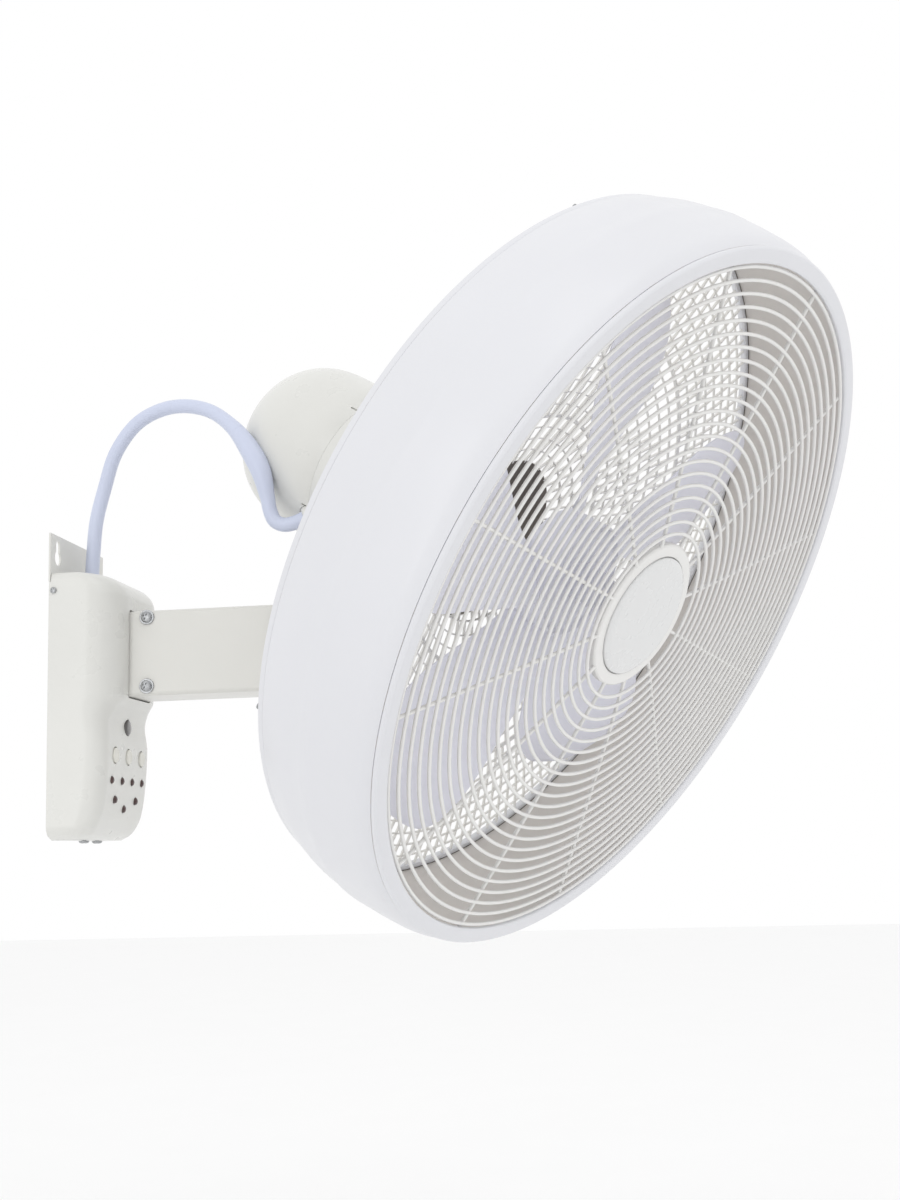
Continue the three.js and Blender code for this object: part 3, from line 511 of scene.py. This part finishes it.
# Box stations: height, depth, corner radius across, corner radius front to back, half width.
COVER_STATIONS = [
    (-106, 24, 12, 12, 40), (-102.5, 28.2, 13, 13, 47.5), (-97, 32, 13, 14, 50),
    (-90, 35.3, 13, 14, 50), (-78, 37.7, 13, 14, 50), (-60, 39.5, 13, 14, 50),
    (-42, 40.2, 13, 14, 50), (-27, 38.8, 15, 15, 50), (-17, 42.2, 20, 19, 50),
    (-8, 48, 25, 23, 50), (51, 48.5, 25, 23, 50), (60, 48.5, 25, 23, 50),
    (66, 46.5, 25, 22, 50), (71, 42, 24, 20, 49.5), (74.5, 36, 22, 17, 48.5), (76, 30, 19, 15, 47),
]
COVER_BACK = -0.3
LEAD_EXIT_Y = -12.3
BUTTONS = [("speed", -26), ("swing", 0), ("timer", 26)]
BUTTON_Z = -49
WINDOW_Z = -28.4
LAMPS = [(-30, -66), (-10, -66), (10, -66), (30, -66), (-20.5, -79), (20.5, -79), (0, -85)]
WALL = 2.2


# Smooth rise through the stations that never overshoots between two of them.
def station(z):
    table = COVER_STATIONS
    k = max(1, next((i for i, row in enumerate(table) if row[0] >= z), len(table) - 1))
    low, high = table[k - 1], table[k]
    width = high[0] - low[0]
    t = (z - low[0]) / width
    values = []
    for column in range(1, 5):
        slopes = [(b[column] - a[column]) / (b[0] - a[0]) for a, b in zip(table, table[1:])]

        def lean(i):
            if i == 0 or i == len(table) - 1:
                return slopes[min(i, len(slopes) - 1)]
            a, b = slopes[i - 1], slopes[i]
            return 0 if a * b <= 0 else 2 * a * b / (a + b)

        m0, m1 = lean(k - 1) * width, lean(k) * width
        p0, p1 = low[column], high[column]
        values.append((2 * t ** 3 - 3 * t * t + 1) * p0 + (t ** 3 - 2 * t * t + t) * m0
                      + (3 * t * t - 2 * t ** 3) * p1 + (t ** 3 - t * t) * m1)
    return values


def cover_outline(z, inset):
    depth, corner_x, corner_y, half = station(z)
    outline = []
    steps = 12
    for side in (-1, 1):
        arc = []
        for i in range(steps + 1):
            angle = radians(90 * i / steps)
            arc.append((side * (half - inset - corner_x + corner_x * cos(angle)),
                        -(depth - inset - corner_y + corner_y * sin(angle)), z))
        back = (side * (half - inset), 4 if inset else COVER_BACK, z)
        outline += [back] + arc if side < 0 else arc[::-1] + [back]
    return outline


def cover_shape(inset):
    heights = []
    for low, high in zip(COVER_STATIONS, COVER_STATIONS[1:]):
        count = 2 if high[0] - low[0] > 30 else 6
        heights += [low[0] + (high[0] - low[0]) * i / count for i in range(count)]
    heights.append(COVER_STATIONS[-1][0])
    low, high = heights[0] + inset, heights[-1] - inset
    kept = [z for z in heights if low - 0.01 <= z <= high + 0.01] if inset else heights
    if inset:
        kept = [low] + [z for z in kept if low + 0.4 < z < high - 0.4] + [high]
    return loft([cover_outline(z, inset) for z in kept])


def add_cover():
    cover = new_object("box_cover_moulding", cover_shape(0))
    holes = [
        rounded_tube(23.5, -9.5, 52, 3, -20, -60),
        rod("z", 6.6, 20, (0, LEAD_EXIT_Y, 76)),
        block((-51, -1.5, 69.7), (51, 4, 77)),
        rod("y", 5.9, 20, (0, -45, WINDOW_Z)),
    ]
    holes += [rod("y", 5.9, 20, (x, -45, BUTTON_Z)) for _, x in BUTTONS]
    holes += [rod("y", 2.9, 20, (x, -45, z), 24) for x, z in LAMPS]
    boolean(cover, cover_shape(WALL))
    boolean(cover, merged(*holes))
    soften(cover, 0.5)
    steady(finished(cover, "ivory", "base", ["box_cover"], 28))


# Round parts in the box: window, lamps, buttons and the collar round the lead.
def add_panel():
    window = eased([(0, -40.9), (4.6, -40.5), (5.6, -39.7), (5.6, -35), (0, -35)], 0.6)
    place = Matrix.Translation((0, 0, WINDOW_Z))
    piece("receiver_window_lens", lathe(window, 48), place, "window", "base",
          ["receiver_window"])
    for i, (x, z) in enumerate(LAMPS):
        front = -39.1 if z > -70 else (-38 if z > -80 else -36.7)
        dome = [(2.6 * sin(radians(a)), front - 1.6 * cos(radians(a))) for a in range(0, 91, 15)]
        profile = dome + [(2.6, -28.8), (0, -28.8)]
        place = Matrix.Translation((x, 0, z))
        piece(f"lamp_lens_{i + 1}", lathe(profile, 32), place, "lamp", "base",
              [f"indicator_lamp_{i + 1}"])
    cap = eased([(0, -40.9), (3.0, -41.0), (4.2, -41.4), (5.2, -40.8), (5.2, -36.8), (6.8, -36.8),
                 (6.8, -36), (2, -36), (2, -30.3), (0, -30.3)], 0.4)
    for name, x in BUTTONS:
        place = Matrix.Translation((x, 0, BUTTON_Z))
        piece(f"{name}_button_cap", lathe(cap, 48), place, "button", f"{name}_button",
              [f"{name}_button"])
    collar = eased([(5.3, 70), (7.3, 70), (6.3, 72.6), (6.3, 76.4), (6.9, 76.6), (6.4, 77.2),
                    (5.3, 77.2), (5.3, 70)], 0.3)
    place = Matrix.Translation((0, LEAD_EXIT_Y, 0)) @ MINUS_Y_TO_Z
    piece("lead_collar", lathe([(r, -z) for r, z in collar], 48), place, "ivory", "base",
          ["cable_grommet"])


add_cover()
add_panel()


# ---------------------------------------------------------------- arm and screws

ARM_SCREW_Y = -61
ARM_SCREW_LEVELS = ((46, "upper"), (-2, "lower"))


# Rectangular tube whose top is open near its end, so that its sides fork round the neck.
def add_arm():
    arm = new_object("arm_channel", rounded_tube(22.5, -8.5, 51, 3, -24, -178))
    boolean(arm, rounded_tube(20.5, -6.5, 49, 1.5, -20, -182))
    boolean(arm, block((-20.5, -182, 3.5), (20.5, -126, 55)))
    boolean(arm, rod("x", 4.3, 70, TILT_PIVOT))
    boolean(arm, merged(*[rod("x", 1.9, 70, (0, ARM_SCREW_Y, z), 24) for z, _ in ARM_SCREW_LEVELS]))
    soften(arm, 0.35)
    steady(finished(arm, "paint", "base", ["arm_bar"], 30))


# Head of a cross-recess screw with its shank; the underside of the head lies at y = 0.
def screw_mesh(name, head, height, shank, length, washer):
    rise = 0.9 if washer else 0
    top = -height - rise
    profile = [(0, top), (head * 0.45, top), (head * 0.8, -height * 0.82 - rise),
               (head, -height * 0.42 - rise), (head, -rise)]
    if washer:
        profile += [(washer - 0.2, -rise), (washer, -rise + 0.2), (washer, 0)]
    profile += [(shank, 0), (shank, length), (0, length)]
    obj = new_object(name, lathe(profile, 40))
    arm = head * 0.58
    width = head * 0.17
    bottom = top + height * 0.62
    for turn in (0, 90):
        bar = block((-arm, top - 1, -width), (arm, bottom, width))
        boolean(obj, moved(bar, Matrix.Rotation(radians(turn + 25), 4, "Y")))
    return obj


def add_screws():
    kinds = {
        "side": (screw_mesh("side_template", 2.2, 1.1, 1.1, 4.5, 0), []),
        "bottom": (screw_mesh("bottom_template", 3.6, 1.8, 1.5, 5.5, 0), []),
        "arm": (screw_mesh("arm_template", 3.9, 2.2, 1.6, 5.2, 5.2), []),
    }
    for side, name in ((-1, "left"), (1, "right")):
        turn = Matrix.Rotation(radians(side * 90), 4, "Z")
        place = Matrix.Translation((side * 50.3, -3.7, 63.5)) @ turn
        kinds["side"][1].append((f"side_screw_{name}", place))
        place = Matrix.Translation((side * 12.4, -12.7, -106.3)) @ Y_TO_Z
        kinds["bottom"][1].append((f"bottom_screw_{name}", place))
        for z, level in ARM_SCREW_LEVELS:
            place = Matrix.Translation((side * 22.8, ARM_SCREW_Y, z)) @ turn
            kinds["arm"][1].append((f"arm_screw_{level}_{name}", place))
    for template, places in kinds.values():
        for node, place in places:
            mesh = template.data.copy()
            scaled = Matrix.Scale(MM, 4) @ place @ Matrix.Scale(1 / MM, 4)
            mesh.transform(scaled)
            obj = bpy.data.objects.new(node + "_detail", mesh)
            bpy.context.scene.collection.objects.link(obj)
            finished(obj, "zinc", "base", [node], 30)
        bpy.data.objects.remove(template)


# Six-sided head along X with its corners taken off.
def hexagon(radius, low, high):
    chamfer = 0.8
    small = 1 - chamfer / radius
    sections = []
    for x, share in ((low, small), (low + chamfer * 0.5, 1), (high - chamfer * 0.5, 1), (high, small)):
        r = radius * share
        sections.append([(x, r * cos(radians(60 * k)), r * sin(radians(60 * k))) for k in range(6)])
    return loft(sections)


def add_tilt_joint():
    place = Matrix.Translation(TILT_PIVOT)
    bolt = merged(hexagon(6.5, 22.8, 26.8), rod("x", 4, 59, (-5.5, 0, 0)))
    piece("tilt_bolt_detail", bolt, place, "zinc", "base", ["tilt_bolt"], 30)
    nut_shape = merged(rod("x", 6.5, 1.4, (-23.5, 0, 0)), hexagon(6.2, -28.9, -24.21))
    nut = new_object("tilt_nut_detail", nut_shape, place)
    boolean(nut, rod("x", 4.2, 30, (-22.5, 0, 0)), place)
    finished(nut, "zinc", "base", ["tilt_nut"], 30)


add_arm()
add_screws()
add_tilt_joint()


# ---------------------------------------------------------------- neck and motor

def add_neck():
    lug = rod("x", 11.5, 40.4, (0, 0, 0), 64)
    profile = eased([(0, 0), (12.5, 0), (12.5, 28), (20, 39), (20, 48), (8.6, 48), (8.6, 40),
                     (0, 40)], 1.6)
    upright = moved(lathe([(r, -z) for r, z in profile], 64), MINUS_Y_TO_Z)
    neck = new_object("neck_casting_body", upright, NECK)
    boolean(neck, lug, NECK, "UNION")
    boolean(neck, rod("x", 4.3, 60, (0, 0, 0)), NECK)
    finished(neck, "paint", "neck", ["neck_casting"], 35)


MOTOR_RADIUS = 59.5
MOTOR_BORE = 57
MOTOR_FRONT = -100
MOTOR_SEAM = 10
DOME_START = 51
DOME_STEPS = 28
DOME_INNER_STEPS = 16
DOME_POWER = 0.88
SLOT_ANGLES = (-60, -137, 60, 137)


def front_casing_profile():
    nose = [(7, MOTOR_FRONT), (MOTOR_RADIUS - 6, MOTOR_FRONT), (MOTOR_RADIUS - 1.6, MOTOR_FRONT + 1.8),
            (MOTOR_RADIUS, MOTOR_FRONT + 6), (MOTOR_RADIUS, MOTOR_SEAM - 0.4)]
    inner = [(MOTOR_RADIUS - 0.2, MOTOR_SEAM - 0.1), (MOTOR_BORE, MOTOR_SEAM - 0.1),
             (MOTOR_BORE, MOTOR_FRONT + 3), (7, MOTOR_FRONT + 3), (7, MOTOR_FRONT)]
    return eased(nose, 2.2, 4) + inner


def rear_casing_profile():
    outer = [(MOTOR_BORE, MOTOR_SEAM), (MOTOR_RADIUS - 0.2, MOTOR_SEAM),
             (MOTOR_RADIUS, MOTOR_SEAM + 0.3), (MOTOR_RADIUS, 30)]
    for i in range(DOME_STEPS + 1):
        angle = radians(90 * i / DOME_STEPS)
        across = cos(angle) ** DOME_POWER if i < DOME_STEPS else 0
        along = DOME_START + (MOTOR_RADIUS - 1.5) * sin(angle) ** DOME_POWER
        outer.append((MOTOR_RADIUS * across, along))
    inner = []
    for i in range(DOME_INNER_STEPS + 1):
        angle = radians(90 * i / DOME_INNER_STEPS)
        across = cos(angle) if i < DOME_INNER_STEPS else 0
        inner.append((MOTOR_BORE * across, DOME_START + MOTOR_BORE * sin(angle)))
    return outer + inner[::-1] + [(MOTOR_BORE, MOTOR_SEAM)]


def add_motor():
    casing = new_object("motor_casing_front", lathe(front_casing_profile(), 128), MOTOR)
    boss = eased([(8.3, 76.7), (22, 76.7), (22, 52), (8.3, 52), (8.3, 76.7)], 1.2)
    boolean(casing, moved(lathe(boss, 64), MINUS_Y_TO_Z), HEAD, "UNION")
    gland_hole = alongside([(0, -4), (7.9, -4), (7.9, 30), (0, 30)])
    boolean(casing, gland_hole)
    finished(casing, "ivory", "head", ["motor_front_casing"], 40)
    # Painted shade: faces looking forward along the fan axis, the motor's front face, take the dark brown
    # that stands in for its deep shade.
    casing.data.materials.append(LOOKS["shade"])
    for polygon in casing.data.polygons:
        if (HEAD.to_3x3().inverted() @ polygon.normal).y < -0.9:
            polygon.material_index = 1
    shell = new_object("motor_casing_rear", lathe(rear_casing_profile(), 128), MOTOR)
    boolean(shell, rod("z", 22.3, 60, (0, 0, -80), 64), HEAD)
    boolean(shell, gland_hole)
    for angle in SLOT_ANGLES:
        slot = block((-0.7, MOTOR_SEAM + 0.2, 57.8), (0.7, MOTOR_SEAM + 6.5, 61))
        boolean(shell, moved(slot, Matrix.Rotation(radians(angle), 4, "Y")), MOTOR)
    finished(shell, "ivory", "head", ["motor_rear_shell"], 40)


# A turned shape along the lead's gland, its mouth 0.3 mm from the end of the lead.
def alongside(profile, sides=64):
    turn = Vector((0, 1, 0)).rotation_difference(GLAND_AXIS).to_matrix().to_4x4()
    mouth = Vector(CABLE_ROUTE[-1]) + GLAND_AXIS * 0.3
    return moved(lathe(profile, sides), Matrix.Translation(mouth) @ turn)


def add_gland():
    profile = eased([(5.3, 0), (6.4, 0), (7.6, 1.4), (7.6, 21), (5.3, 21), (5.3, 0)], 0.5)
    gland = new_object("lead_gland", alongside(profile))
    finished(gland, "ivory", "head", ["cable_gland"], 35)


add_neck()
add_motor()
add_gland()


# ---------------------------------------------------------------- drum: shroud, rims, guard and grille

SHROUD_OUTER = [(239.5, -222.3), (243.4, -215), (246, -200), (247.4, -185), (248, -178),
                (247.3, -171), (246.2, -156), (242.3, -138.8)]
SHROUD_INNER = [(240.1, -138.8), (244, -156), (245.8, -178), (243.8, -200), (241.2, -215),
                (237.3, -222.3)]


# Rounds a polyline by sampling a spline through it.
def flowing(points):
    return [(p.x, p.y) for p in spline([(r, y, 0) for r, y in points], 5)]


def add_shroud():
    outer, inner = flowing(SHROUD_OUTER), flowing(SHROUD_INNER)
    shape = lathe(outer + inner + [outer[0]], 192)
    shroud = piece("shroud_shell", shape, HEAD, "drum", "head", ["shroud"], 50)
    # Faces turned toward the fan axis take the painted-shade copy of the drum's white.
    shroud.data.materials.append(LOOKS["drum_inside_painted_shade"])
    for polygon in shroud.data.polygons:
        local = HEAD.inverted() @ (polygon.center / MM)
        outward = Vector((local.x, 0, local.z))
        facing = HEAD.to_3x3().inverted() @ polygon.normal
        if facing.dot(outward) < 0:
            polygon.material_index = 1


def add_front_rim():
    profile = [(229.5, -225.4), (231, -226.2), (238.5, -226.2), (240, -224.8), (239.6, -222.6),
               (236, -222.6), (236, -219), (234.5, -219), (234.5, -222.6), (229.5, -222.6),
               (229.5, -225.4)]
    piece("front_rim_moulding", lathe(eased(profile, 0.5), 192), HEAD, "drum", "head",
          ["front_rim"], 40)


# Lattice of the rear guard: ribs by zone (inner radius, outer radius, count), then its rings.
GUARD_HUB_RADIUS = 54
GUARD_REACH = 238
GUARD_ZONES = [(52, 92, 48), (92, 164, 96), (164, 238, 144)]
GUARD_STEPS = 20
GUARD_HEAVY_RINGS = (4, 12)
GUARD_FLAT_Y = -136.4
GUARD_DISH_DEPTH = 33
GUARD_DISH_WIDTH = 166
GUARD_RIM_INSIDE = 236.4
# Inside this radius the guard's hub plate takes painted shade.
GUARD_SHADE_RADIUS = 51
RIM_SCREW_RADIUS = 239.4


# Place of the guard's face along the fan axis: flat outside, drawn back toward the hub.
def guard_y(radius):
    rise = max(0, 1 - (radius - GUARD_HUB_RADIUS) / GUARD_DISH_WIDTH)
    return GUARD_FLAT_Y + GUARD_DISH_DEPTH * rise * rise


# Distance of a face from the fan axis, mm.
def around(polygon):
    local = HEAD.inverted() @ (polygon.center / MM)
    return sqrt(local.x ** 2 + local.z ** 2)


def add_rear_guard():
    rim = eased([(236.5, -138.5), (242, -138.5), (242, -134.6), (240.6, -133.8), (236.5, -133.8),
                 (236.5, -138.5)], 0.5)
    hub = eased([(22, -100.3), (54, -100.3), (54, -103.4), (22, -103.4), (22, -100.3)], 0.5)
    parts = [lathe(rim, 192), lathe(hub, 96)]
    for low, high, count in GUARD_ZONES:
        radii = [low + (high - low) * i / 6 for i in range(7)]
        stations = [(r, guard_y(r) + 0.1) for r in radii]
        for i in range(count):
            parts.append(radial_bar(3 + i * 360 / count, stations, 0.6, 1.3, 4))
    for i in range(1, GUARD_STEPS):
        r = GUARD_HUB_RADIUS + (GUARD_REACH - GUARD_HUB_RADIUS) * i / GUARD_STEPS
        heavy = i in GUARD_HEAVY_RINGS
        parts.append(ring(r, guard_y(r), 1.5 if heavy else 0.6, 144, 6, 1.5 if heavy else 1.0))
    guard = piece("rear_guard_lattice", merged(*parts), HEAD, "guard", "head",
                  ["rear_guard"], 40)
    # Faces past the rim's inside take the drum's white; faces inside the hub plate take painted shade,
    # dark brown for the deep shade before the motor.
    guard.data.materials.append(LOOKS["drum"])
    guard.data.materials.append(LOOKS["shade"])
    for polygon in guard.data.polygons:
        radius = around(polygon)
        if radius > GUARD_RIM_INSIDE:
            polygon.material_index = 1
        elif radius < GUARD_SHADE_RADIUS:
            polygon.material_index = 2
    # Painted shadow: a thin dark ring where the guard's rim meets the shroud, standing in for the shade in
    # the gap between them.
    piece("rear_seam_painted_shadow", ring(239.5, -139.0, 0.25, 192, 6), HEAD, "shade", "head", (), 40)
    head = lathe(eased([(0, 0), (2.0, 0), (2.4, 0.5), (2.4, 0.8), (0, 1.3)], 0.3), 24)
    heads = []
    for angle in (45, 135, 225, 315):
        x = RIM_SCREW_RADIUS * sin(radians(angle))
        z = RIM_SCREW_RADIUS * cos(radians(angle))
        heads.append(moved(head, Matrix.Translation((x, -133.7, z))))
    piece("rear_rim_screws", merged(*heads), HEAD, "zinc", "head", (), 40)


GRILLE_RINGS = 22
GRILLE_FIRST_RING = 57.3
GRILLE_LAST_RING = 227.1
GRILLE_SPOKES = 12
GRILLE_PHASE = -6


# Place of the grille's slightly crowned face along the fan axis.
def grille_y(radius):
    share = (radius / 240) ** 2
    return -229 + 7.9 * share - 2.1 * share * share


def add_front_grille():
    parts = []
    for i in range(GRILLE_RINGS):
        r = GRILLE_FIRST_RING + (GRILLE_LAST_RING - GRILLE_FIRST_RING) * i / (GRILLE_RINGS - 1)
        parts.append(ring(r, grille_y(r) + 0.1, 1.2, 160, 8))
    radii = [47.8, 56] + [56 + (226.5 - 56) * i / 8 for i in range(1, 9)]
    stations = [(r, grille_y(max(r, 56)) + 1.75) for r in radii] + [(229.4, -221.2), (233, -221.2)]
    for i in range(GRILLE_SPOKES):
        parts.append(radial_bar(GRILLE_PHASE + i * 360 / GRILLE_SPOKES, stations, 1.25, 1.3, 8))
    piece("front_grille_wires", merged(*parts), HEAD, "wire", "head",
          ["front_grille"], 50)
    hub = eased([(0, -225.4), (41.2, -225.4), (41.2, -228), (48.2, -228), (49.5, -227),
                 (49.5, -222.6), (47.5, -222.6), (47.5, -223.4), (0, -223.4)], 0.5)
    piece("grille_hub", lathe(hub, 128), HEAD, "wire", "head", (), 40)
    badge = eased([(0, -231), (20, -230.9), (37, -230.5), (40.6, -229), (40.6, -225.7),
                   (0, -225.7)], 1.0, 4)
    piece("hub_badge_disc", lathe(badge, 128), HEAD, "badge", "head", ["hub_badge"], 40)


add_shroud()
add_front_rim()
add_rear_guard()
add_front_grille()


# ---------------------------------------------------------------- fan wheel

BLADES = 5
BLADE_PHASE = 33
BLADE_ROOT_RADIUS = 36
BLADE_TIP_RADIUS = 193
BLADE_LENGTH = BLADE_TIP_RADIUS - BLADE_ROOT_RADIUS
BLADE_SPAN = 178
BLADE_CORNER = 50
WHEEL_Y = -162


# One paddle: a thin pitched plate, widest two thirds of the way out, with rounded corners at its tip.
# Its width and sweep are laws over BLADE_SPAN, which ends a little past the tip.
def paddle(phase):
    across, along = 17, 30
    front, back = [], []
    for i in range(along):
        share = i / (along - 1)
        radius = BLADE_ROOT_RADIUS + BLADE_LENGTH * (1 - (1 - share) ** 1.35)
        reach = (radius - BLADE_ROOT_RADIUS) / BLADE_SPAN
        near_tip = max(0, 1 - (BLADE_TIP_RADIUS - radius) / BLADE_CORNER)
        outer = max(0, (reach - 0.5) / 0.5)
        wide = 22.5 - 15.5 * outer ** 1.5
        sweep = 12.5 * sin(radians(90 * min(1, reach / 0.53))) - 3.6 * outer ** 2
        rake = 13.3 - 2.5 * min(1, reach / 0.5)
        for j in range(across):
            s = 2 * j / (across - 1) - 1
            angle = radians(phase + sweep + s * wide)
            r = radius - 11 * near_tip ** 4 * s ** 4
            y = WHEEL_Y + rake * s - 3 * (1 - s * s)
            half = sqrt(max(0.12, 1 - s ** 8)) * sqrt(max(0.12, 1 - near_tip ** 24))
            front.append((r * sin(angle), y - half, r * cos(angle)))
            back.append((r * sin(angle), y + half, r * cos(angle)))
    start = len(front)
    faces = []
    for i in range(along - 1):
        for j in range(across - 1):
            a = i * across + j
            faces.append((a, a + 1, a + across + 1, a + across))
            faces.append((start + a, start + a + across, start + a + across + 1, start + a + 1))
        left, right = i * across, i * across + across - 1
        faces.append((left, left + across, start + left + across, start + left))
        faces.append((right, start + right, start + right + across, right + across))
    last = (along - 1) * across
    for j in range(across - 1):
        faces.append((j, start + j, start + j + 1, j + 1))
        faces.append((last + j, last + j + 1, start + last + j + 1, start + last + j))
    return front + back, faces


def add_wheel():
    hub = eased([(5.3, -186), (12, -186), (12, -175), (35, -175), (38, -178), (40, -176), (40, -150),
                 (37.5, -150), (37.5, -172), (12, -172), (12, -158), (5.3, -158), (5.3, -186)], 0.8)
    paddles = [paddle(BLADE_PHASE + 360 / BLADES * i) for i in range(BLADES)]
    piece("blade_wheel_moulding", merged(lathe(hub, 96), *paddles), HEAD, "blade", "fan_wheel",
          ["blade_wheel"], 55)
    nut = eased([(0, -200), (8, -200), (11, -197), (13, -186.3), (5.3, -186.3), (5.3, -193),
                 (0, -193)], 0.8)
    piece("wheel_nut_cap", lathe(nut, 48), HEAD, "blade", "fan_wheel", ["wheel_nut"], 40)


add_wheel()


# ---------------------------------------------------------------- the solids that stay as they are

KEPT = {
    "wall_plate": "paint", "arm_bracket": "zinc", "circuit_board": "board", "start_capacitor": "dark",
    "swing_post": "zinc", "swing_fixed_gear": "brass", "swing_pinion": "brass", "swing_motor": "zinc",
    "stator_core": "core", "rotor_core": "core", "stator_winding_front": "copper",
    "stator_winding_rear": "copper", "rear_bearing_plate": "zinc", "front_bearing": "zinc",
    "rear_bearing": "zinc", "rotor_shaft": "zinc",
}
for node_name, look_name in KEPT.items():
    materials = NODES[node_name].data.materials
    materials.clear()
    materials.append(LOOKS[look_name])


# ---------------------------------------------------------------- floor and light

def add_floor():
    floor = new_object("floor", block((-6000, -6000, -440), (6000, 6000, -430)))
    material = skin("floor_paper", (0.94, 0.94, 0.94), 0.9, 60, 0.0001, 0.003)
    floor.data.materials.append(material)


# Where every lamp points. The lamps' places and sizes are metres, their power watts.
LIT_CENTRE = (0, -0.3, 0.15)


# Soft rectangular lamp that faces the object.
def add_light(name, place, size, power):
    data = bpy.data.lights.new(name, "AREA")
    data.shape = "RECTANGLE"
    data.size, data.size_y = size
    data.energy = power
    light = bpy.data.objects.new(name, data)
    light.location = place
    light.rotation_euler = (Vector(LIT_CENTRE) - Vector(place)).to_track_quat("-Z", "Y").to_euler()
    bpy.context.scene.collection.objects.link(light)


def add_light_rig():
    world = bpy.data.worlds.new("studio")
    world.use_nodes = True
    world.node_tree.nodes["Background"].inputs["Color"].default_value = (1.0, 1.0, 1.0, 1)
    world.node_tree.nodes["Background"].inputs["Strength"].default_value = 1.0
    bpy.context.scene.world = world
    add_light("key", (-1.3, -1.0, 1.9), (1.2, 1.6), 4)
    add_light("side", (-2.2, 0.6, 0.4), (0.6, 2.0), 4)
    add_light("top", (0.3, -0.3, 2.4), (2.4, 2.4), 0.6)


add_floor()
add_light_rig()
bpy.context.scene.view_settings.view_transform = "Standard"
